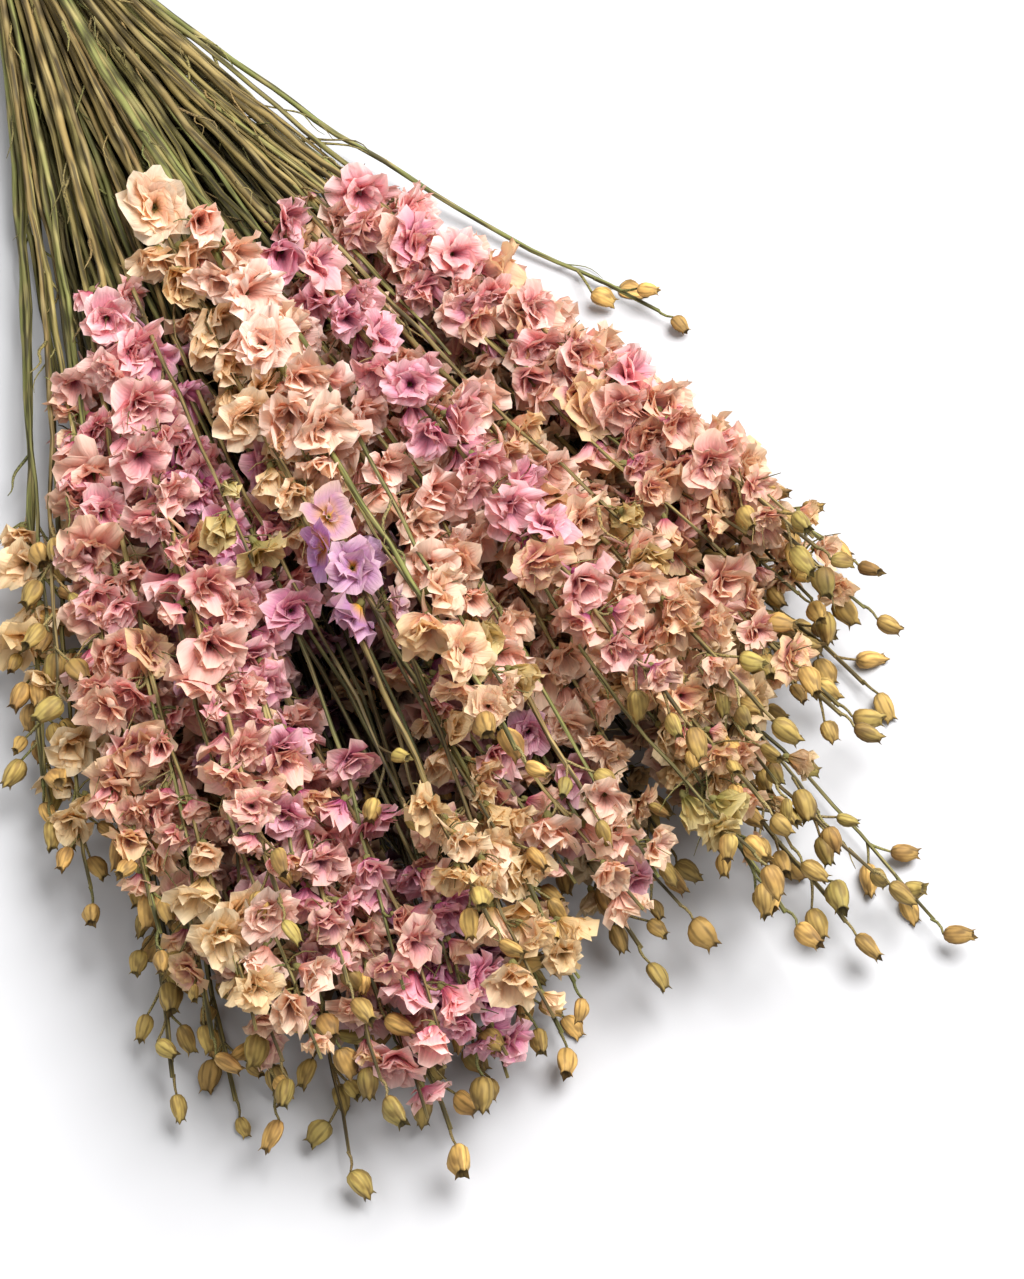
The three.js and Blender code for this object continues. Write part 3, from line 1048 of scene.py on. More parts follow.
@dataclass
class Stem:
    """One stem with its dry thread leaves and the short stalks of its florets and capsules.

    Attributes:
        stalk: Where it grows.
        fan: The bunch's shape.
        rng: The source of its differences.
        butt_radius: Its radius at the cut end.
        tip_radius: Its radius at the tip.
        sides: Ridges round it.
        step: The distance between its rings of points.
        leaves: How many thread leaves it has kept.
        pile: Its mesh, as it grows.
        age: How brown it is, from 0 to 1, which its side stalks and capsules share.
    """

    stalk: Stalk
    fan: Fan
    rng: np.random.Generator
    butt_radius: float = 1.85 * MM
    tip_radius: float = 0.75 * MM
    sides: int = 8
    step: float = 9 * MM
    leaves: int = 4
    pile: MeshPile = field(default_factory=MeshPile)
    age: float = 0.0

    def grow(self) -> None:
        """Grows the stem from its cut end to its tip."""
        stalk, ridge_depth, age_spread = self.stalk, 0.10, 0.15
        rows = max(FEWEST_STEM_ROWS, round((stalk.reach + stalk.butt) / self.step))
        x = np.linspace(-stalk.butt, stalk.reach, rows)
        path = stalk.path(self.fan, x)
        _, left, upward = stalk.axes(self.fan, x)
        free = smooth_step(np.abs(x), KINK_START, KINK_END)[:, None]
        for n, wave in enumerate(KINK_LENGTHS):
            axis = upward if n % 2 else left
            turn = x / wave * 2 * math.pi + self.rng.uniform(0, 2 * math.pi)
            path = path + axis * free * KINK_DEPTH_MM * MM * np.sin(turn)[:, None]
        share = np.linspace(0, 1, rows)
        radius = self.butt_radius + (self.tip_radius - self.butt_radius) * share
        ridge = 1 + ridge_depth * np.cos(np.arange(self.sides) * math.pi)
        uneven = self.rng.uniform(0.93, 1.07, (rows, 1))
        thick = radius[:, None] * uneven * ridge
        self.age = self.rng.uniform(0, 1)
        self._add(tube(path[None], thick[None], self.sides), age_spread, capped=True)

    def _add(self, grid: np.ndarray, spread: float, capped: bool = False) -> None:
        """Adds tubes in tints near the stem's own age, with painted shade deep in the bunch and
        hollow.

        Args:
            grid: Their points, by tube, row, side and axis.
            spread: How far their age is from the stem's.
            capped: Whether their ends are closed.
        """
        count = len(grid)
        aged = np.clip(self.age + self.rng.uniform(-spread, spread, (count, 1, 1)), 0, 1)
        x = grid[..., 0] - self.fan.foot[0]
        u = self.fan.sideways_share(grid, x)
        # Painted shade: stems deep in the bunch and in the hollow are tinted darker.
        deep = DEEP_STEM_PAINTED_SHADE * float(smooth_step(-self.stalk.v, -0.2, 0.5)) * inside(x, u)
        hollow = LOW_HOLLOW_PAINTED_SHADE if self.stalk.v < TOP_LAYER else TOP_HOLLOW_PAINTED_SHADE
        stem_painted_shade = np.maximum(deep, hollow * HOLLOW.depth(x, u))
        lit = self.rng.uniform(0.5, 0.95, (count, 1, 1)) * (1 - stem_painted_shade)
        none = np.zeros(lit.shape)
        tint = np.stack([none + aged, lit, none, none], axis=-1)
        self.pile.add(rest_on_table(grid), tint, wrap=True, capped=capped)

    def branch(self, start: np.ndarray, leave: np.ndarray, end: np.ndarray, radius: float) -> None:
        """Adds short side stalks.

        Args:
            start: Where they leave the stem.
            leave: How far and in which direction they set out.
            end: Where they end.
            radius: Their radius.
        """
        rows, sides, age_spread = 4, 5, 0.3
        paths = bow(start, leave, end, rows)
        radii = np.broadcast_to(radius * np.linspace(1.25, 0.9, rows), (len(start), rows))
        self._add(tube(paths, radii, sides), age_spread)

    def bract(self, root: np.ndarray, along: np.ndarray, out: np.ndarray) -> None:
        """Adds dry thread-like bracts where florets leave the stem.

        Args:
            root: Where they grow.
            along: The stem's direction there.
            out: The directions in which they stand off.
        """
        rows, sides, age_spread, radius = 4, 3, 0.5, 0.5 * MM
        # Two stand at each floret.
        root, along, out = (np.repeat(block, 2, axis=0) for block in (root, along, out))
        count = len(root)
        length = self.rng.uniform(6 * MM, 16 * MM, (count, 1))
        aside = unit(out + self.rng.normal(0, 0.6, out.shape))
        end = root + length * (along * self.rng.uniform(0.1, 0.8, (count, 1)) + aside)
        paths = bow(root, aside * length * 0.5, end, rows)
        radii = np.broadcast_to(radius * np.linspace(1, 0.3, rows), (count, rows))
        self._add(tube(paths, radii, sides), age_spread)

    def shed_leaves(self) -> None:
        """Adds the shrivelled leaves: threads and narrow twisted strips along the bare length."""
        stalk, rng, count = self.stalk, self.rng, self.leaves
        rows, sides, flatness, age_spread = 9, 5, 0.45, 0.5
        first, past_spike_start, curl_depth_mm = 45 * MM, 60 * MM, 2.2
        x = rng.uniform(first, min(stalk.reach, stalk.spike_start + past_spike_start), count)
        start = stalk.path(self.fan, x)
        along, left, upward = stalk.axes(self.fan, x)
        turn = rng.uniform(0, 2 * math.pi, (count, 1))
        out = left * np.cos(turn) + upward * np.sin(turn)
        length = rng.uniform(14 * MM, 42 * MM, (count, 1))
        end = start + length * (along * rng.uniform(0.5, 1.0, (count, 1)) + out * 0.3)
        end = end + rng.normal(0, 2.5 * MM, end.shape)
        paths = bow(start, length * 0.5 * (along * 0.6 + out * 0.5), end, rows)
        curl = np.linspace(0, 1, rows)[None, :, None]
        coils = rng.uniform(4, 9, (count, 1, 1))
        swing = np.sin(curl * coils + rng.uniform(0, 6, (count, 1, 1)))
        paths = paths + swing * curl * curl_depth_mm * MM * left[:, None, :]
        thinning = 1 - 0.75 * np.linspace(0, 1, rows) ** 2
        radii = rng.uniform(0.3 * MM, 0.9 * MM, (count, 1)) * thinning
        self._add(tube(paths, radii, sides, flat=flatness), age_spread)

    def dress(self, finishes: Finishes) -> bpy.types.Object:
        """Makes the piece in its finish."""
        return self.pile.build(f"stalk_{self.stalk.number:02d}", finishes.stem)


# Below this layer the hollow's stalks have kept their florets.
HOLLOW_FLOOR = -0.45
# How much painted shade darkens florets deep in the bunch, and those that face the table.
DEEP_FLORET_PAINTED_SHADE, UNDERSIDE_PAINTED_SHADE = 0.78, 0.15
# Florets are smaller on the last part of a spike.
TAPER_START, TAPER_DEPTH = 0.8, 0.35
# How often a single floret has gone to straw, how far, and how far the last ones of a spike have.
STRAW_ODDS, STRAW_FLORET, STRAW_TIP = 0.07, 0.65, 0.5
# The crumples that run through a whole floret: waves a metre, and their depth.
CRUMPLE_WAVES, CRUMPLE_DEPTH_MM = 420, 0.75
# The calyx knob and the spur behind it, ring by ring, in millimetres.
KNOB_HEIGHTS = np.array([-2.2, -1.2, 0.1, 0.8])
KNOB_RADII = np.array([0.45, 1.25, 1.35, 0.5])
KNOB_SIDES = 6
SPUR_RADII = np.array([1.0, 0.85, 0.65, 0.5, 0.25])
SPUR_SIDES = 5
CALYX_BRIGHTNESS = 0.7


@dataclass
class FlowerSpike:
    """The florets along one stalk.

    Attributes:
        stem: The stem that they grow on.
        straw: How far they have faded to straw, from 0 to 1.
        size: Their size against the usual one.
        pitch: The distance from one floret to the next along the stem.
        detail: How many points their petals get.
        pile: Its mesh, as it grows.
    """

    stem: Stem
    straw: float
    size: float
    pitch: float
    detail: Detail
    pile: MeshPile = field(default_factory=MeshPile)

    def grow(self) -> int:
        """Grows the florets from the spike's start to its end.

        Returns:
            How many there are.
        """
        stalk, rng, fan = self.stem.stalk, self.stem.rng, self.stem.fan
        length = stalk.spike_end - stalk.spike_start
        count = max(3, round(length / self.pitch))
        share = (np.arange(count) + rng.uniform(0.2, 0.8, count)) / count
        x = stalk.spike_start + length * share
        turn = np.arange(count) * GOLDEN_ANGLE + rng.uniform(0, 2 * math.pi)
        u = fan.sideways_share(stalk.path(fan, x), x)
        kept = self._kept(x, u)
        x, u, share, turn, count = x[kept], u[kept], share[kept], turn[kept], int(kept.sum())
        if not count:
            return 0
        root = stalk.path(fan, x)
        along, left, upward = stalk.axes(fan, x)
        # They stand off to all sides, but a little more upwards.
        out = unit(left * np.cos(turn)[:, None] + upward * (np.sin(turn)[:, None] + 0.28))
        shares = BLOOM_SHARES[stalk.family]
        odds = [part / sum(shares.values()) for part in shares.values()]
        kinds = rng.choice(list(shares), count, p=odds)
        axis = self._faces(kinds, along, out)
        shrunk = 1.0 - TAPER_DEPTH * (share - TAPER_START) / (1 - TAPER_START)
        room = np.where(share < TAPER_START, 1.0, shrunk)
        # Each has a short stalk, which sets out along the stem and bends outwards.
        lift = rng.uniform(3.5 * MM, 7 * MM, count) * room
        foot = root + (along * 0.55 + out * 0.8) * lift[:, None]
        self.stem.branch(root, (along * 0.9 + out * 0.2) * lift[:, None] * 0.7, foot, SIDE_STALK)
        if self.detail is not Detail.COARSE:
            self.stem.bract(root, along, out)
        # Painted shade: florets deep in the bunch, and those that face the table, are tinted
        # darker.
        deep = DEEP_FLORET_PAINTED_SHADE * inside(x, u) * smooth_step(-stalk.v, -0.15, 0.6)
        floret_painted_shade = deep + UNDERSIDE_PAINTED_SHADE * np.maximum(0, -axis[:, 2])
        faded = STRAW_FLORET * (rng.uniform(0, 1, count) < STRAW_ODDS)
        for n in range(count):
            scale = self.size * room[n] * rng.uniform(0.82, 1.14)
            straw = self.straw + STRAW_TIP * share[n] ** 2.2 + faded[n] + rng.normal(0, 0.12)
            straw = np.clip(straw, 0, 0.9)
            self._floret(kinds[n], foot[n], axis[n], scale, straw, float(floret_painted_shade[n]))
        return count

    def _kept(self, x: np.ndarray, u: np.ndarray) -> np.ndarray:
        """Tells which places along the stem have kept their florets.

        Args:
            x: Distances from the waist.
            u: Sideways places, as shares of the half width.

        Returns:
            True or false for each place.
        """
        stalk = self.stem.stalk
        gap = np.any([patch.holds(x, u) for patch in BARE_PATCHES], axis=0) & (stalk.v > 0)
        hollow = HOLLOW.holds(x, u) & (stalk.v > HOLLOW_FLOOR)
        bare = (gap | hollow) & (stalk.family is not Family.PURPLE)
        return ~bare & (x > read_line(BLOSSOM_LINE, u) * MM)

    def _faces(self, kinds: np.ndarray, along: np.ndarray, out: np.ndarray) -> np.ndarray:
        """Turns each floret partly along the stem and partly outwards.

        Args:
            kinds: How each floret has dried.
            along: The stem's direction at each.
            out: The direction in which each stands off.

        Returns:
            Unit vectors, one row each.
        """
        rng, count = self.stem.rng, len(kinds)
        hanging = np.array([[kind in (Bloom.SKIRT, Bloom.HALF_OPEN)] for kind in kinds])
        ahead = rng.uniform(0.7, 1.5, (count, 1)) + 0.4 * hanging
        if self.stem.stalk.family is Family.PURPLE:
            # The open flowers show their eyes.
            ahead = ahead * 0.2
        aside = out * rng.uniform(0.5, 1.0, (count, 1))
        return unit(along * ahead + aside + rng.normal(0, 0.2, (count, 3)))

    def _floret(self, bloom: Bloom, foot: np.ndarray, axis: np.ndarray, scale: float,
                straw: float, floret_painted_shade: float) -> None:
        """Adds one floret.

        Args:
            bloom: How it has dried.
            foot: Where its petals start.
            axis: Where it faces.
            scale: Its size against the usual one.
            straw: How far it has faded.
            floret_painted_shade: How much painted shade darkens it, deep in the bunch and facing
                the table.
        """
        rng = self.stem.rng
        turn = turned(axis, rng.uniform(0, 2 * math.pi))
        hue = scatter(self.stem.stalk.number, 9) + rng.normal(0, 0.22)
        wave = rng.normal(0, 1, (3, 3)) * CRUMPLE_WAVES
        phase = rng.uniform(0, 2 * math.pi, 3)
        squeeze = np.array([1, rng.uniform(0.72, 1.0), 1])
        # The crumples start at the floret's middle and are at their full depth this far from it.
        full_crumple = 8 * MM
        for ring, whorl in enumerate(bloom.value):
            petals = grow_whorl(whorl, rng, *self.detail.value[min(ring, 1)])
            petals = petals * squeeze * scale
            bend = np.sin(petals @ wave.T + phase) * CRUMPLE_DEPTH_MM * MM
            reach = np.clip(np.linalg.norm(petals, axis=-1, keepdims=True) / full_crumple, 0, 1)
            petals = petals + bend * reach
            petals = petals @ turn + foot
            # Each petal's brightness is a random tone less the floret's painted shade.
            tint = np.stack(
                [
                    np.clip(hue + rng.normal(0, 0.1, whorl.petals), 0, 1),
                    rng.uniform(0.77, 1.0, whorl.petals) - floret_painted_shade,
                    np.full(whorl.petals, straw),
                    np.zeros(whorl.petals),
                ],
                axis=-1,
            )
            self.pile.add(rest_on_table(petals), tint)
        knob = KNOB_HEIGHTS[:, None] * UP * MM * scale
        grid = tube((knob @ turn + foot)[None], KNOB_RADII[None] * MM * scale, KNOB_SIDES)
        tint = np.array([[hue, CALYX_BRIGHTNESS - floret_painted_shade, straw, 1.0]])
        self.pile.add(rest_on_table(grid), tint, wrap=True)
        if self.detail is not Detail.FINE:
            return
        length = rng.uniform(6 * MM, 10 * MM) * scale
        away = turn[0] * rng.uniform(0.3, 0.9)
        leave = (away - axis * 0.4) * length * 0.6
        end = foot + (away * 0.5 - axis) * length
        path = bow(foot[None], leave[None], end[None], len(SPUR_RADII))
        grid = tube(path, SPUR_RADII[None] * MM * scale, SPUR_SIDES)
        tint = np.array([[hue, CALYX_BRIGHTNESS - floret_painted_shade, straw, 0.0]])
        self.pile.add(rest_on_table(grid), tint, wrap=True)

    def dress(self, finishes: Finishes) -> bpy.types.Object:
        """Makes the piece in its family's finish."""
        stalk = self.stem.stalk
        return self.pile.build(f"flowers_{stalk.number:02d}", finishes.petals[stalk.family])


# A capsule from its foot to its mouth and down inside again: the radius and the place along it,
# as shares, and how bright each ring is: darker at the foot and the mouth, and painted shade on
# the ring inside.
CAPSULE_OUTLINE = np.array(
    [
        [0.14, 0.0], [0.62, 0.06], [0.94, 0.20], [1.04, 0.40], [0.98, 0.59],
        [0.80, 0.76], [0.56, 0.89], [0.66, 1.0], [0.36, 0.80],
    ]
)
CAPSULE_TONES_AND_PAINTED_SHADE = np.array([0.45, 0.8, 1, 1, 1, 0.92, 0.75, 0.6, 0.15])


@dataclass
class CapsuleSpray:
    """The seed capsules on one stalk.

    Attributes:
        stem: The stem that they grow on.
        start: Where the first one grows, from the waist.
        pitch: The distance from one to the next along the stem.
        length: A capsule's length.
        radius: Its radius.
        lobes: The seed cases that are grown together in each.
        sides: Points in a ring.
        pile: Its mesh, as it grows.
    """

    stem: Stem
    start: float
    pitch: float = 8.0 * MM
    length: float = 10.6 * MM
    radius: float = 3.7 * MM
    lobes: int = 3
    sides: int = 12
    pile: MeshPile = field(default_factory=MeshPile)

    def grow(self) -> int:
        """Grows the capsules to the stem's tip.

        Returns:
            How many there are.
        """
        stalk, rng = self.stem.stalk, self.stem.rng
        length = stalk.reach - self.start
        count = max(2, round(length / self.pitch))
        share = np.arange(count) + rng.uniform(0.1, 0.9, count)
        x = self.start + length * share / count - 2 * MM
        # They stand in pairs, and the last one ends the stem.
        x[1::2] -= 0.5 * self.pitch
        x[-1] = stalk.reach - 1 * MM
        root = stalk.path(self.stem.fan, x)
        along, left, upward = stalk.axes(self.stem.fan, x)
        turn = np.arange(count) * GOLDEN_ANGLE + rng.uniform(0, 2 * math.pi)
        out = left * np.cos(turn)[:, None] + upward * np.sin(turn)[:, None]
        # Their stalks bend outwards, apart from the last one's, which goes straight on.
        lift = rng.uniform(7 * MM, 13 * MM, (count, 1))
        end = root + along * lift * 0.8 + out * lift * 0.62
        end[-1] = root[-1] + along[-1] * 7 * MM
        self.stem.branch(root, along * lift * 0.35 + out * lift * 0.2, end, SIDE_STALK)
        # They face along the stem and outwards, and hang a little.
        face = unit(along * 0.9 + out * 0.5 + rng.normal(0, 0.25, (count, 3)) - UP * 0.15)
        for n in range(count):
            self._capsule(end[n], face[n], rng.uniform(0.7, 1.12))
        return count

    def _capsule(self, foot: np.ndarray, axis: np.ndarray, scale: float) -> None:
        """Adds one urn-shaped capsule with ribs, a toothed mouth and a hollow behind it.

        Args:
            foot: Where it sits on its stalk.
            axis: Where its mouth points.
            scale: Its size against the usual one.
        """
        rng = self.stem.rng
        lobe_depth, rib_depth, dent_depth = 0.13, 0.07, 0.10
        mouth_start, tooth_spread, tooth_height = 0.8, 0.34, 0.13
        out, along = CAPSULE_OUTLINE[:, 0][:, None], CAPSULE_OUTLINE[:, 1][:, None]
        turn = (np.arange(self.sides) * 2 * math.pi / self.sides)[None, :]
        belly = np.sin(math.pi * np.clip(along, 0, 1))
        lobed = lobe_depth * np.cos(self.lobes * turn)
        ribs = 1 + belly * (lobed + rib_depth * np.cos(2 * self.lobes * turn))
        dent = 1 + dent_depth * np.sin(3 * along + turn + rng.uniform(0, 2 * math.pi)) * belly
        slim, crush = rng.uniform(0.8, 1.1), rng.uniform(0.7, 1.0)
        radius = self.radius * scale * slim * out * ribs * dent
        # The mouth is drawn in between its teeth, and these stand higher.
        mouth = smooth_step(along, mouth_start, 1.0)
        tooth = np.maximum(0, np.cos(self.lobes * turn)) ** 2
        radius = radius * (1 + mouth * (tooth_spread * tooth - 0.12))
        height = self.length * scale * (along + mouth * tooth_height * (tooth - 0.3))
        bend = rng.normal(0, 0.05, 2)
        points = np.stack(
            [
                radius * np.cos(turn) + bend[0] * height,
                radius * crush * np.sin(turn) + bend[1] * height,
                height + 0 * turn,
            ],
            axis=-1,
        )
        hue = np.clip(self.stem.age * 0.7 + rng.normal(0.1, 0.3), 0, 1)
        # Each lobe is dark along its seam and at the toothed mouth, and the ring inside has painted
        # shade.
        seam_brightness, lobe_gain = 0.74, 0.26
        seam = seam_brightness + lobe_gain * np.sqrt(0.5 + 0.5 * np.cos(self.lobes * turn))
        lit = rng.uniform(0.55, 0.98) * seam * CAPSULE_TONES_AND_PAINTED_SHADE[:, None]
        none = np.zeros(lit.shape)
        tint = np.stack([none + hue, lit, none, none], axis=-1)
        grid = (points @ turned(axis, rng.uniform(0, 2 * math.pi)) + foot)[None]
        self.pile.add(rest_on_table(grid), tint[None], wrap=True, capped=True)

    def dress(self, finishes: Finishes) -> bpy.types.Object:
        """Makes the piece in its finish."""
        return self.pile.build(f"capsules_{self.stem.stalk.number:02d}", finishes.capsule)


# A raffia strand is a flat ribbon with this many points round it.
RIBBON_SIDES = 8
RIBBON_FLATNESS, TURN_FLATNESS = 0.2, 0.22
# How deep each layer of turns lies under the outer radius.
LAYER_DEPTHS = (1.3 * MM, 0.45 * MM)
KNOT_STRAND, TAIL_STRAND = 2.6 * MM, 2.0 * MM
# The loops of the knot, the strands in each of its two tails, and where these point.
LOOPS, TAIL_STRANDS = 5, 4
TAIL_HEADINGS = (math.radians(67), math.radians(170))
# What the strands' differences start from.
TIE_SEED = 7


@dataclass
class RaffiaTie:
    """The raffia that holds the bunch: flat turns round the waist, a knot and frayed tails.

    Attributes:
        fan: The bunch's shape.
        rng: The source of the strands' differences.
        outer: The turns' outer radius.
        width: How much of the bunch they cover.
        strand_width: One strand's width.
        strands: How many turns lie side by side.
        tail_length: How far the tails reach from the knot.
        turns: The turns' mesh.
        knot: The knot's mesh.
    """

    fan: Fan
    rng: np.random.Generator
    outer: float
    width: float = 14 * MM
    strand_width: float = 2.6 * MM
    strands: int = 9
    tail_length: float = 34 * MM
    turns: MeshPile = field(default_factory=MeshPile)
    knot: MeshPile = field(default_factory=MeshPile)

    def _tint(self, count: int) -> np.ndarray:
        """Gives each strand its own age and brightness.

        Args:
            count: How many strands there are.

        Returns:
            Their tints, one row each.
        """
        none = np.zeros(count)
        age, lit = self.rng.uniform(0, 1, count), self.rng.uniform(0.35, 0.95, count)
        return np.stack([age, lit, none, none], axis=-1)

    def _strand(self, path: np.ndarray, width: float, taper: bool = False) -> None:
        """Adds one flat strand to the knot.

        Args:
            path: The points along its middle.
            width: Its usual width.
            taper: Whether it gets narrow towards its end.
        """
        radii = np.full((1, len(path)), width / 2) * self.rng.uniform(0.8, 1.12)
        if taper:
            radii = radii * (1 - 0.7 * np.linspace(0, 1, len(path)) ** 2)
        ribbon = tube(path[None], radii, RIBBON_SIDES, flat=RIBBON_FLATNESS)
        self.knot.add(ribbon, self._tint(1), wrap=True, capped=True)

    def wind(self) -> None:
        """Winds the turns round the waist."""
        rows, wobble_depth = 49, 0.15 * MM
        angle = np.linspace(0, 2 * math.pi, rows)
        for layer, depth in enumerate(LAYER_DEPTHS):
            for n in range(self.strands - layer):
                place = (n + 0.5 + layer / 2) / self.strands - 0.5
                slant = self.rng.uniform(-1.4, 1.4) * MM
                drift = slant * np.sin(angle + self.rng.uniform(0, 6))
                x = place * (self.width - self.strand_width) + drift
                wobble = wobble_depth * np.sin(3 * angle + self.rng.uniform(0, 6))
                radius = self.outer - depth + wobble
                y, z = radius * np.sin(angle), radius * np.cos(angle) + self.outer
                self._flat_turn(np.stack([x, y, z], axis=-1) + self.fan.foot)

    def _flat_turn(self, path: np.ndarray) -> None:
        """Adds one turn that lies flat on the bunch.

        Args:
            path: The points along its middle.
        """
        centre = self.fan.foot + UP * self.outer
        outward = path - centre
        outward[:, 0] = 0
        outward = unit(outward)
        along = unit(np.gradient(path, axis=0))
        side = unit(np.cross(outward, along))
        turn = np.arange(RIBBON_SIDES) * 2 * math.pi / RIBBON_SIDES
        half = self.strand_width / 2 * self.rng.uniform(0.75, 1.05)
        across = side[:, None, :] * np.cos(turn)[:, None]
        ring = across + outward[:, None, :] * TURN_FLATNESS * np.sin(turn)[:, None]
        grid = (path[:, None, :] + ring * half)[None]
        self.turns.add(grid, self._tint(1), wrap=True, capped=True)

    def tie(self) -> None:
        """Ties the knot on top: crossed loops, then tails that droop."""
        top = self.fan.foot + UP * (2 * self.outer + 0.4 * MM)
        share = np.linspace(0, 1, 25)
        for n in range(LOOPS):
            self._strand(top + self._loop(n, share * 2 * math.pi), KNOT_STRAND)
        for heading in TAIL_HEADINGS:
            for _ in range(TAIL_STRANDS):
                self._strand(top + self._tail(heading, share), TAIL_STRAND, taper=True)

    @staticmethod
    def _loop(n: int, angle: np.ndarray) -> np.ndarray:
        """Bends one loop of the knot, each smaller, higher and turned further than the last.

        Args:
            n: The loop's number, from 0.
            angle: Angles round it, in radians.

        Returns:
            Points round the knot's middle.
        """
        spin, flatness, twist = 0.5 + n * 1.25, 0.5, 1.3
        reach, rise = (5.2 - 0.3 * n) * MM, (2.0 + 0.35 * n) * MM
        x, y = np.cos(angle) * reach, np.sin(angle) * flatness * reach
        z = rise + np.sin(angle * 2 + n) * twist * MM
        turned_x = x * math.cos(spin) - y * math.sin(spin)
        turned_y = x * math.sin(spin) + y * math.cos(spin)
        return np.stack([turned_x, turned_y, z], axis=-1)

    def _tail(self, heading: float, share: np.ndarray) -> np.ndarray:
        """Bends one strand of a tail.

        Args:
            heading: Where the tail points, in radians from the bunch's length.
            share: Places along it, from 0 to 1.

        Returns:
            Points from the knot's middle.
        """
        rng, start_height, arch = self.rng, 1.6, 2.2
        aim = heading + rng.uniform(-0.22, 0.22)
        reach = self.tail_length * rng.uniform(0.72, 1.0)
        sideways = rng.uniform(-1, 1) * 4 * MM * np.sin(share * math.pi * rng.uniform(1, 2))
        droop = -rng.uniform(2, 7) * MM * share**2 + arch * MM * np.sin(share * math.pi)
        x = np.cos(aim) * reach * share - np.sin(aim) * sideways
        y = np.sin(aim) * reach * share + np.cos(aim) * sideways
        return np.stack([x, y, start_height * MM + droop], axis=-1)

    def dress(self, finishes: Finishes) -> list[bpy.types.Object]:
        """Makes both pieces in their finish."""
        return [
            self.turns.build("raffia_winding", finishes.raffia),
            self.knot.build("raffia_bow_knot", finishes.raffia),
        ]


@dataclass(frozen=True)
class Habit:
    """What grows on one of the frame's stalks.

    Attributes:
        family: Its florets' colour family.
        reach: From the waist to its tip, in millimetres.
        capsules: How much of its end has gone to seed, in millimetres.
        straw: How far its florets have faded, from 0 to 1.
        stray: How far it leaves its place sideways by its tip, as a share of the half width.
        size: Its florets' size against the usual one.
    """

    family: Family
    reach: float
    capsules: float = 0.0
    straw: float = 0.0
    stray: float = 0.0
    size: float = 1.0


# The frame's thirty stalks, in its own order.
HABITS = [
    Habit(Family.PEACH, 470, 15, 0.15),
    Habit(Family.CREAM, 475, 20, 0.10),
    Habit(Family.LILAC, 495, 35, 0.05),
    Habit(Family.PINK, 475, 30, 0.35),
    Habit(Family.PINK, 475, 10, 0.05),
    Habit(Family.PINK, 505, 45, 0.08),
    Habit(Family.PEACH, 455, 15, 0.05),
    Habit(Family.LILAC, 480, 0, 0.00),
    Habit(Family.PINK, 455, 40, 0.25),
    Habit(Family.LILAC, 470, 10, 0.00),
    Habit(Family.CREAM, 490, 45, 0.05),
    Habit(Family.PEACH, 450, 20, 0.30),
    Habit(Family.PINK, 455, 35, 0.20),
    Habit(Family.CREAM, 445, 60, 0.30),
    Habit(Family.CREAM, 480, 15, 0.12),
    Habit(Family.LILAC, 515, 50, 0.00),
    Habit(Family.PINK, 400, 30, 0.20),
    Habit(Family.PINK, 420, 40, 0.30),
    Habit(Family.CREAM, 512, 80, 0.35),
    Habit(Family.LILAC, 445, 20, 0.05),
    Habit(Family.CREAM, 455, 110, 0.30),
    Habit(Family.PEACH, 395, 70, 0.15),
    Habit(Family.PINK, 440, 20, 0.10),
    Habit(Family.SEED, 500),
    Habit(Family.PINK, 405, 30, 0.05),
    Habit(Family.CREAM, 342, 60, 0.40),
    Habit(Family.PINK, 435, 70, 0.10),
    Habit(Family.PEACH, 435, 15, 0.12, size=1.2),
    Habit(Family.CREAM, 468, 100, 0.35),
    Habit(Family.SEED, 268, stray=0.18),
]


@dataclass(frozen=True)
class Companion:
    """A stalk that the frame has no solid for, with a place of its own.

    Attributes:
        habit: What grows on it.
        u: Its sideways place in the waist.
        v: Its upward place there.
        start: Where its florets or capsules start, in millimetres from the waist.
    """

    habit: Habit
    u: float
    v: float
    start: float


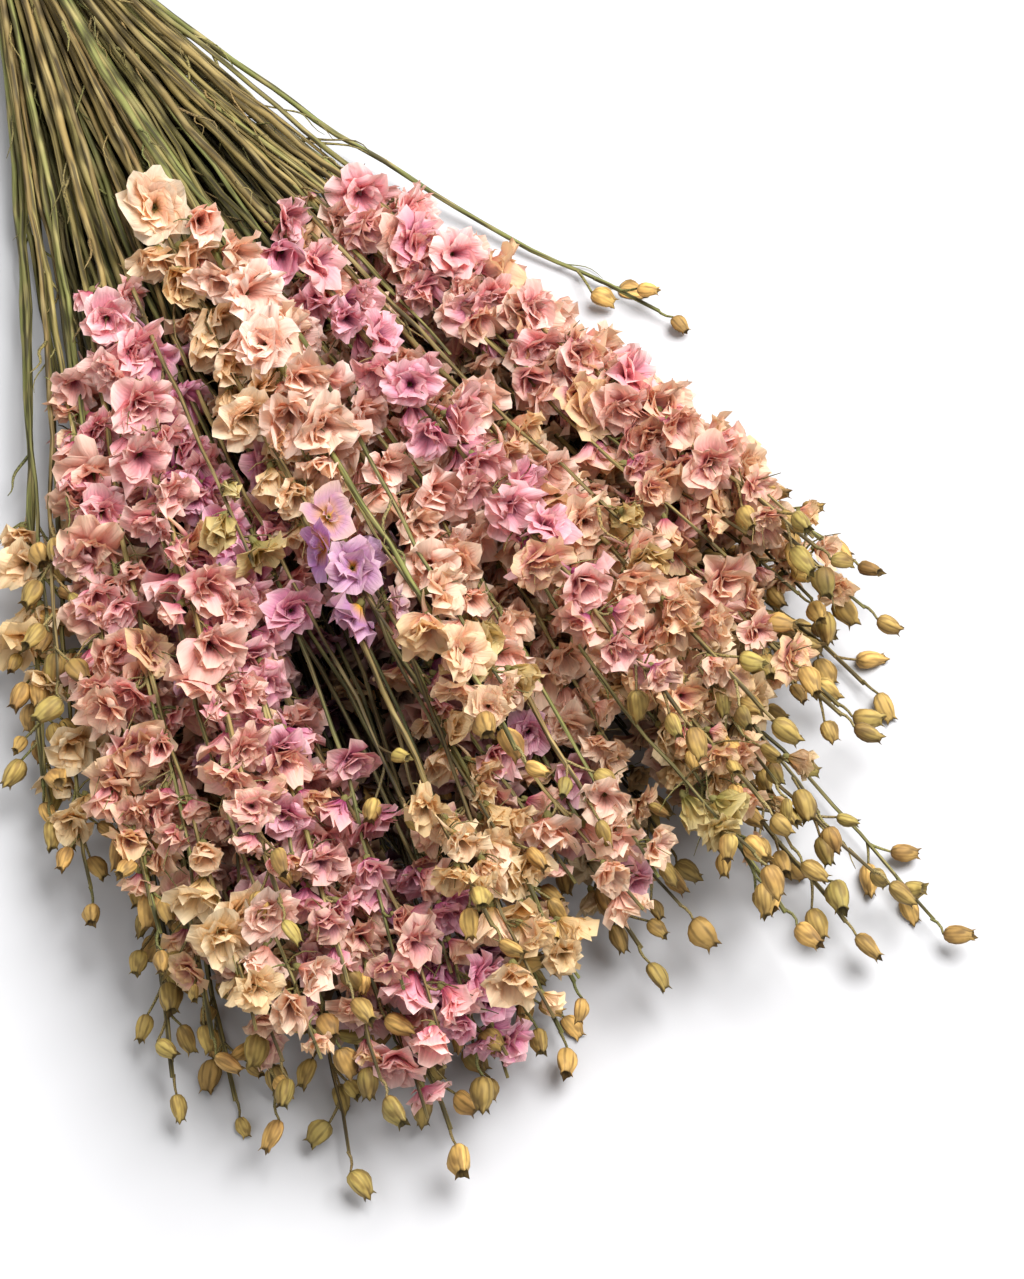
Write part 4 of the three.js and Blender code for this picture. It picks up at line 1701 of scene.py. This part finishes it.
# Stalks that the photograph shows plainly, or that fill a place where it has a cluster of its own.
COMPANIONS = [
    Companion(Habit(Family.PURPLE, 376), -0.135, 0.76, 318),
    Companion(Habit(Family.CREAM, 226, size=1.3), -0.13, 0.80, 156),
    Companion(Habit(Family.OLIVE, 326), -0.33, 0.74, 288),
    Companion(Habit(Family.OLIVE, 362), -0.02, 0.72, 330),
    Companion(Habit(Family.OLIVE, 414), 0.03, 0.70, 380),
    Companion(Habit(Family.OLIVE, 392), 0.37, 0.62, 352),
    Companion(Habit(Family.OLIVE, 492, 8), 0.20, 0.30, 455),
    Companion(Habit(Family.SEED, 424), -0.235, 0.45, 386),
    Companion(Habit(Family.PINK, 505, 60, 0.1), -0.43, -0.62, 330),
    Companion(Habit(Family.SEED, 498), -0.19, -0.62, 430),
    Companion(Habit(Family.LILAC, 502, 0, -0.4), -0.22, 0.05, 430),
    Companion(Habit(Family.PINK, 508, 0, -0.3), -0.29, 0.15, 440),
    Companion(Habit(Family.PINK, 514, 0, -0.3), -0.34, -0.20, 440),
    Companion(Habit(Family.LILAC, 506, 0, -0.4), -0.17, -0.25, 440),
    Companion(Habit(Family.LILAC, 492, 0, -0.4), -0.26, -0.15, 425),
    Companion(Habit(Family.LILAC, 510, 0, -0.4), -0.21, -0.50, 440),
    Companion(Habit(Family.LILAC, 470, 0, -0.2), -0.24, -0.72, 340),
    Companion(Habit(Family.PINK, 462, 0, -0.2), -0.16, -0.88, 335),
    Companion(Habit(Family.SEED, 524), 0.38, -0.70, 455),
    Companion(Habit(Family.SEED, 506), 0.35, -0.30, 450),
    Companion(Habit(Family.SEED, 350), -0.79, 0.05, 225),
    Companion(Habit(Family.SEED, 318), -0.73, 0.40, 205),
    Companion(Habit(Family.CREAM, 512, 0, 0.2), -0.11, 0.30, 425),
    Companion(Habit(Family.CREAM, 500, 0, 0.3), -0.06, 0.10, 435),
    Companion(Habit(Family.PEACH, 492, 0, 0.1), 0.01, 0.25, 440),
    Companion(Habit(Family.LILAC, 482), 0.07, -0.10, 400),
    Companion(Habit(Family.PEACH, 485, 0, 0.2), 0.10, 0.30, 430),
    Companion(Habit(Family.PEACH, 490, 0, 0.2), -0.45, 0.45, 430),
    Companion(Habit(Family.CREAM, 470, 0, 0.2, size=1.15), -0.53, 0.40, 395),
    Companion(Habit(Family.LILAC, 475, 10), -0.42, -0.05, 300),
    Companion(Habit(Family.PINK, 480, 20, 0.1), -0.47, -0.40, 300),
    Companion(Habit(Family.LILAC, 502, 12), -0.20, -0.30, 330),
    Companion(Habit(Family.PINK, 498, 10), -0.33, 0.00, 345),
    Companion(Habit(Family.PINK, 492, 20, 0.1), -0.12, -0.55, 330),
    Companion(Habit(Family.LILAC, 478, 8), -0.10, -0.78, 350),
    Companion(Habit(Family.PEACH, 485, 12, 0.2), 0.12, -0.40, 330),
    Companion(Habit(Family.CREAM, 490, 25, 0.2), 0.20, -0.10, 330),
    Companion(Habit(Family.CREAM, 480, 25, 0.3), 0.36, -0.20, 300),
    Companion(Habit(Family.CREAM, 470, 30, 0.2), 0.32, 0.10, 300),
    Companion(Habit(Family.SEED, 288), -0.77, 0.22, 215),
    Companion(Habit(Family.CREAM, 385, 30, 0.3), -0.72, -0.05, 290),
]


# Florets on the frame's stalks and on the others: their size against the usual one, and the
# distance from one to the next.
FRAMED_SIZE, LOOSE_SIZE = 1.13, 1.06
TOP_PITCH, LOW_PITCH, LOOSE_PITCH, OPEN_FLOWER_PITCH = 8.0 * MM, 9.0 * MM, 11.5 * MM, 8.0 * MM
# A stalk without solids shows, and gets finer florets, above these layers or beside this share.
PLACED_SHOWN, FILLER_SHOWN, SIDE_SHOWN = -0.35, 0.4, 0.6
# The frame's own layout, with lengths in millimetres, so that the stalks lie where its solids do.
FRAMED_BUTT, SHORTEST_BUTT = 152, 0.86
TOP_SPIKE_START, LOW_SPIKE_DELAY, SPIKE_START_SPREAD = 150, 70, 40
BARE_TIP, BARE_TIP_SPREAD = 32, 14
WAVE_LENGTH, WAVE_LENGTH_SPREAD = 300, 140
# How far the stalks without solids wave, as a share of the half width.
LOOSE_WANDER = 0.028
# A filler looks for room among this many places, leaves its place by up to this share, and stays
# within another.
SPOTS, FILLER_STRAY, FILLER_EDGE = 60, 0.35, 0.62
# Fillers stay below these layers: the bare ones, the middle ones and those at the sides.
BARE_TOP, MIDDLE_TOP, SIDE_TOP = 0.3, 0.35, 0.6
# Low bare stems lie in two bands, all over and under the hollow: the middle and half the width
# of each, and after how many fillers one more joins it.
LOW_BAND, HOLLOW_BAND = (0.0, 0.62), (-0.21, 0.10)
LOW_EVERY, HOLLOW_EVERY = 2, 6
# The bare part of a seed stalk's spike, as a share, and the bare end past the last floret.
SEED_STALK_BARE, FLORET_END_MM = 0.45, 8
# Florets go on among the first capsules: this share of them, but no further than this.
MIXED_SHARE, MIXED_LENGTH_MM = 0.6, 30
# A stalk without solids gets capsules if more than this has gone to seed.
FEWEST_CAPSULES_MM = 6
# Below this layer no thread leaves show.
LEAFLESS_LAYER = -0.5


@dataclass
class Bunch:
    """The whole bunch: the frame's thirty stalks and thinner ones between them.

    Attributes:
        finishes: The materials.
        fan: The bunch's shape.
        fillers: How many thinner stalks there are between the others.
        filler_spread: The share of the waist's radius that these fill.
        bare_share: How many of these are short and bare.
        seed: What the fillers' places start from.
        spread: The share of the waist's radius that the frame's stalks fill.
        first_angle: Where the first stalk lies in the waist.
        first_seed: What each stalk's own differences start from, before its number is added.
    """

    finishes: Finishes
    fan: Fan
    fillers: int = 72
    filler_spread: float = 0.86
    bare_share: float = 0.36
    seed: int = 41
    spread: float = 0.88
    first_angle: float = math.radians(-20)
    first_seed: int = 1000

    def framed_stalks(self) -> list[Stalk]:
        """Lays out the stalks that the frame has solids for, as they lie there.

        Returns:
            The stalks, in the frame's order.
        """
        stalks = []
        for n, habit in enumerate(HABITS):
            radius = self.spread * math.sqrt((n + 0.5) / len(HABITS))
            angle = n * GOLDEN_ANGLE + self.first_angle
            v = radius * math.sin(angle)
            reach = habit.reach * MM
            stalks.append(
                Stalk(
                    number=n + 1,
                    family=habit.family,
                    u=radius * math.cos(angle),
                    v=v,
                    reach=reach,
                    butt=FRAMED_BUTT * MM * (SHORTEST_BUTT + (1 - SHORTEST_BUTT) * scatter(n, 3)),
                    spike_start=(
                        TOP_SPIKE_START + LOW_SPIKE_DELAY * (1 - v) / 2
                        + SPIKE_START_SPREAD * scatter(n, 2)
                    ) * MM,
                    spike_end=reach - (BARE_TIP + BARE_TIP_SPREAD * scatter(n, 4)) * MM,
                    wave_length=(WAVE_LENGTH + WAVE_LENGTH_SPREAD * scatter(n, 5)) * MM,
                    wave_phase=2 * math.pi * scatter(n, 6),
                    stray=habit.stray,
                )
            )
        return stalks

    def loose_stalk(self, number: int, place: Place, habit: Habit, start: float,
                    rng: np.random.Generator) -> Stalk:
        """Lays out a stalk that the frame has no solid for.

        Args:
            number: The stalk's number.
            place: Where it lies in the waist.
            habit: What grows on it.
            start: Where its florets or capsules start, in metres from the waist.
            rng: The source of its bends.

        Returns:
            The stalk.
        """
        reach = habit.reach * MM
        return Stalk(
            number=number,
            family=habit.family,
            u=place[0],
            v=place[1],
            reach=reach,
            butt=rng.uniform(115 * MM, 150 * MM),
            spike_start=start,
            spike_end=reach,
            wave_length=rng.uniform(260 * MM, 420 * MM),
            wave_phase=rng.uniform(0, 2 * math.pi),
            wander=LOOSE_WANDER,
            stray=habit.stray,
            stray_start=10 * MM,
        )

    def low_stem(self, number: int, rng: np.random.Generator, middle: float,
                 spread: float) -> tuple[Stalk, Habit]:
        """Lays out a bare stem at the very bottom of the bunch.

        Args:
            number: The stalk's number.
            rng: The source of its place.
            middle: Where such stems lie sideways, as a share of the radius.
            spread: How far to both sides of that.

        Returns:
            The stalk and its habit.
        """
        u = float(middle + rng.uniform(-spread, spread))
        reach = read_line(OUTLINE, u) * rng.uniform(0.78, 0.9)
        habit = Habit(Family.NONE, reach, stray=rng.uniform(-0.1, 0.1))
        place = (u, rng.uniform(-0.95, -0.5))
        return self.loose_stalk(number, place, habit, habit.reach * MM, rng), habit

    def free_spot(self, taken: list[Place],
                  rng: np.random.Generator) -> tuple[Place, np.ndarray]:
        """Finds the place in the waist that is furthest from the stalks there, of some random ones.

        Args:
            taken: Where the other stalks lie.
            rng: The source of the places.

        Returns:
            The place, and how far from it each other stalk lies.
        """
        radius = self.filler_spread * np.sqrt(rng.uniform(0, 1, SPOTS))
        angle = rng.uniform(0, 2 * math.pi, SPOTS)
        spots = np.stack([radius * np.cos(angle), radius * np.sin(angle)], axis=-1)
        gaps = np.linalg.norm(spots[:, None] - np.array(taken)[None], axis=-1)
        best = int(gaps.min(axis=1).argmax())
        return (float(spots[best, 0]), float(spots[best, 1])), gaps[best]

    def filler(self, place: Place, family: Family,
               rng: np.random.Generator) -> tuple[Place, Habit]:
        """Decides what grows on a filler, and presses it down into its layer.

        Args:
            place: Where it has found room in the waist.
            family: Its nearest neighbour's family.
            rng: The source of its sizes.

        Returns:
            Its place and its habit.
        """
        u, v = place
        aim = u + rng.uniform(-FILLER_STRAY, FILLER_STRAY)
        stray = float(np.clip(aim, -FILLER_EDGE, FILLER_EDGE)) - u
        outline = read_line(OUTLINE, u + stray)
        if rng.uniform() < self.bare_share:
            reach = rng.uniform(0.4, 0.55) * outline
            return (u, min(v, BARE_TOP)), Habit(Family.NONE, reach, stray=stray)
        v = min(v, MIDDLE_TOP if abs(u + stray) < SIDE_SHOWN else SIDE_TOP)
        # The higher it lies, the shorter it is.
        reach = outline * rng.uniform(0.80, 0.95) * (1 - 0.12 * max(0, v))
        capsules = rng.uniform(0, 25) if v < 0 else 0.0
        return (u, v), Habit(family, reach, capsules, rng.uniform(0, 0.35), stray)

    def loose_stalks(self, framed: list[Stalk]) -> list[tuple[Stalk, Habit]]:
        """Lays out the companions, then finds room for the fillers one by one, far from the others.

        Args:
            framed: The stalks that already have their places.

        Returns:
            The new stalks with their habits, low bare stems among them. A filler is of its nearest
            neighbour's family, or bare.
        """
        rng = np.random.default_rng(self.seed)
        loose = []
        for companion in COMPANIONS:
            place, number = (companion.u, companion.v), len(framed) + len(loose) + 1
            stalk = self.loose_stalk(number, place, companion.habit, companion.start * MM, rng)
            loose.append((stalk, companion.habit))
        taken = [(s.u, s.v) for s in framed] + [(s.u, s.v) for s, _ in loose]
        for _ in range(self.fillers):
            spot, gaps = self.free_spot(taken, rng)
            near = framed[int(gaps[: len(framed)].argmin())]
            taken.append(spot)
            place, habit = self.filler(spot, near.family, rng)
            if len(taken) % LOW_EVERY == 1:
                loose.append(self.low_stem(len(framed) + len(loose) + 1, rng, *LOW_BAND))
            if len(taken) % HOLLOW_EVERY == 0:
                loose.append(self.low_stem(len(framed) + len(loose) + 1, rng, *HOLLOW_BAND))
            start = habit.reach * MM * rng.uniform(0.45, 0.62)
            number = len(framed) + len(loose) + 1
            loose.append((self.loose_stalk(number, place, habit, start, rng), habit))
        return loose

    def spike_on(self, stem: Stem, habit: Habit, framed: bool) -> FlowerSpike:
        """Sets up the spike of one stalk, with finer florets where they show.

        Args:
            stem: The stalk's stem.
            habit: What grows on it.
            framed: Whether the frame has solids for it.

        Returns:
            The spike, not grown yet.
        """
        stalk = stem.stalk
        if not framed:
            placed = stalk.number <= len(HABITS) + len(COMPANIONS)
            shown = stalk.v > (PLACED_SHOWN if placed else FILLER_SHOWN)
            shown = shown or abs(stalk.u) > SIDE_SHOWN
            detail = Detail.MIDDLE if shown else Detail.COARSE
            pitch = OPEN_FLOWER_PITCH if stalk.family is Family.PURPLE else LOOSE_PITCH
            return FlowerSpike(stem, habit.straw, LOOSE_SIZE * habit.size, pitch, detail)
        size = FRAMED_SIZE * habit.size
        if stalk.v < 0:
            return FlowerSpike(stem, habit.straw, size, LOW_PITCH, Detail.MIDDLE)
        return FlowerSpike(stem, habit.straw, size, TOP_PITCH, Detail.FINE)

    def grow_stalk(self, stalk: Stalk, habit: Habit, framed: bool) -> None:
        """Grows one stalk with everything on it, and dresses it.

        Args:
            stalk: Its place.
            habit: What grows on it.
            framed: Whether the frame has solids for it.
        """
        rng = np.random.default_rng(self.first_seed + stalk.number)
        stem = Stem(stalk, self.fan, rng, leaves=int(rng.integers(1, 5)))
        if not framed:
            # The stalks between the frame's are thinner, and plainer because they show less.
            stem.butt_radius, stem.tip_radius = rng.uniform(1.4 * MM, 1.8 * MM), 0.6 * MM
            stem.sides, stem.step = 5, 13 * MM
        stem.grow()
        if stalk.v > LEAFLESS_LAYER:
            stem.shed_leaves()
        florets = pods = 0
        seeds_from = stalk.spike_start + SEED_STALK_BARE * (stalk.reach - stalk.spike_start)
        if stalk.family in PETALS:
            seeds_from = stalk.reach - (FLORET_END_MM + habit.capsules) * MM
            mixed = min(MIXED_LENGTH_MM, habit.capsules * MIXED_SHARE)
            stalk.spike_end = seeds_from + mixed * MM
            spike = self.spike_on(stem, habit, framed)
            florets = spike.grow()
        if florets:
            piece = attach(spike.dress(self.finishes), "root")
            if framed:
                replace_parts(piece, f"florets_{stalk.number:02d}")
        if framed or stalk.family is Family.SEED or habit.capsules > FEWEST_CAPSULES_MM:
            spray = CapsuleSpray(stem, seeds_from)
            pods = spray.grow()
            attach(spray.dress(self.finishes), "root")
        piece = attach(stem.dress(self.finishes), "root")
        if framed:
            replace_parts(piece, f"stem_{stalk.number:02d}")
        log.info(
            "stalk %02d: %s, %d florets, %d capsules",
            stalk.number, stalk.family.value, florets, pods,
        )

    def grow(self) -> None:
        """Grows every stalk."""
        framed = self.framed_stalks()
        for stalk, habit in zip(framed, HABITS):
            self.grow_stalk(stalk, habit, True)
        for stalk, habit in self.loose_stalks(framed):
            self.grow_stalk(stalk, habit, False)


@dataclass(frozen=True)
class Lamp:
    """A square soft lamp that points at the bunch's middle. Lengths are in metres.

    Attributes:
        name: Its name.
        side: How far it hangs to the camera's right of that point.
        far: How far behind it.
        height: How far above the table.
        size: Its side.
        power: Its power in watts.
    """

    name: str
    side: float
    far: float
    height: float
    size: float
    power: float


LAMPS = [
    Lamp("key_lamp", side=0.75, far=0.55, height=1.9, size=1.4, power=103.0),
    Lamp("fill_lamp", side=-1.3, far=-0.4, height=1.5, size=2.0, power=12.0),
]
# The card under the bunch has faint waves about this long and this deep.
CARD_GRAIN, CARD_RELIEF = 4.5454 * MM, 0.1 * MM


@dataclass
class Studio:
    """The pale table, the soft light and the camera, which aren't part of the bunch.

    Attributes:
        waist: The point on the table under the tie.
        azimuth: The camera's direction round the bunch, in degrees.
        elevation: Its height above the horizon, in degrees.
        distance: From the point that it aims at.
        focal_length: In millimetres.
        sensor_width: In millimetres.
        ahead: From the waist to that point, along the bunch.
        sideways: And across it.
        aim_height: And upwards.
        table_half: Half the table top's side, so long that no view shows its edge.
        room_glow: How bright the white room is.
    """

    waist: np.ndarray
    azimuth: float = 62.0
    elevation: float = 65.0
    distance: float = 1.25
    focal_length: float = 127.4
    sensor_width: float = 36.0
    ahead: float = 0.376
    sideways: float = 0.022
    aim_height: float = 0.04
    table_half: float = 40.0
    room_glow: float = 0.40

    def directions(self) -> tuple[np.ndarray, np.ndarray, np.ndarray]:
        """Works out the camera's own directions.

        Returns:
            Its right, its up and the way back to it from the bunch.
        """
        a, e = math.radians(self.azimuth), math.radians(self.elevation)
        back = np.array([math.sin(a) * math.cos(e), -math.cos(a) * math.cos(e), math.sin(e)])
        right = np.array([math.cos(a), math.sin(a), 0.0])
        return right, np.cross(back, right), back

    def place_camera(self) -> None:
        """Sets the camera at the photograph's viewing angle."""
        right, upward, back = self.directions()
        aim = self.waist + np.array([self.ahead, self.sideways, self.aim_height])
        data = bpy.data.cameras.new("camera")
        data.lens = self.focal_length
        data.sensor_width = self.sensor_width
        data.sensor_fit = "HORIZONTAL"
        camera = bpy.data.objects.new("camera", data)
        bpy.context.scene.collection.objects.link(camera)
        columns = np.stack([right, upward, back, aim + back * self.distance], axis=1)
        camera.matrix_world = Matrix([*columns.tolist(), [0, 0, 0, 1]])
        bpy.context.scene.camera = camera

    def lay_table(self) -> None:
        """Lays a plain white table top under the bunch."""
        half = self.table_half
        corners = [(-half, -half, 0), (half, -half, 0), (half, half, 0), (-half, half, 0)]
        mesh = bpy.data.meshes.new("table_top")
        mesh.from_pydata(corners, [], [(0, 1, 2, 3)])
        material = bpy.data.materials.new("matt_white_card")
        material.use_nodes = True
        tree = material.node_tree
        tree.nodes.clear()
        spot = add_node(tree, "ShaderNodeTexCoord")
        grain = add_node(
            tree, "ShaderNodeTexNoise", Vector=spot.outputs["Object"], Scale=1 / CARD_GRAIN
        )
        relief = add_node(
            tree, "ShaderNodeBump", Height=grain.outputs["Fac"], Strength=0.05,
            Distance=CARD_RELIEF,
        )
        skin = add_node(
            tree, "ShaderNodeBsdfPrincipled", Normal=relief.outputs[0], Roughness=0.85,
            **{"Base__Color": linear("#B8B8BA")},
        )
        add_node(tree, "ShaderNodeOutputMaterial", Surface=skin.outputs[0])
        mesh.materials.append(material)
        table = bpy.data.objects.new("table_top", mesh)
        bpy.context.scene.collection.objects.link(table)

    def light(self) -> None:
        """Hangs the lamps in a white room: a strong one at the upper right, a weak one left."""
        world = bpy.data.worlds.new("white_room")
        bpy.context.scene.world = world
        world.use_nodes = True
        tree = world.node_tree
        tree.nodes.clear()
        glow = add_node(
            tree, "ShaderNodeBackground", Color=linear("#FFFFFF"), Strength=self.room_glow
        )
        add_node(tree, "ShaderNodeOutputWorld", Surface=glow.outputs[0])
        right, _, back = self.directions()
        away = unit(np.array([-back[0], -back[1], 0.0]))
        middle = self.waist + np.array([self.ahead, self.sideways, 0.0])
        for lamp in LAMPS:
            data = bpy.data.lights.new(lamp.name, "AREA")
            data.size = lamp.size
            data.energy = lamp.power
            spot = middle + right * lamp.side + away * lamp.far + UP * lamp.height
            piece = bpy.data.objects.new(lamp.name, data)
            piece.location = spot
            piece.rotation_mode = "QUATERNION"
            piece.rotation_quaternion = Vector(middle - spot).to_track_quat("-Z", "Y")
            bpy.context.scene.collection.objects.link(piece)


def set_tones() -> None:
    """Shows colours as they are, without a film curve that greys them."""
    bpy.context.scene.view_settings.view_transform = "Standard"


def main() -> None:
    """Builds the studio and the bunch."""
    logging.basicConfig(level=logging.INFO, format="%(message)s")
    low, high = (np.array(corner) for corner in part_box("raffia_turns"))
    waist = (low + high) / 2
    outer = (high[2] - low[2]) / 2
    fan = Fan(foot=np.array([waist[0], waist[1], waist[2] - outer]), waist_height=outer)
    studio = Studio(fan.foot)
    studio.place_camera()
    studio.lay_table()
    studio.light()
    set_tones()
    finishes = Finishes.mix()
    bunch = Bunch(finishes, fan)
    bunch.grow()
    tie = RaffiaTie(fan, np.random.default_rng(TIE_SEED), outer)
    tie.wind()
    tie.tie()
    for piece, node in zip(tie.dress(finishes), ("raffia_turns", "raffia_knot")):
        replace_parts(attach(piece, "root"), node)
        log.info("%s: %d faces", piece.name, len(piece.data.polygons))


if __name__ == "__main__":
    main()
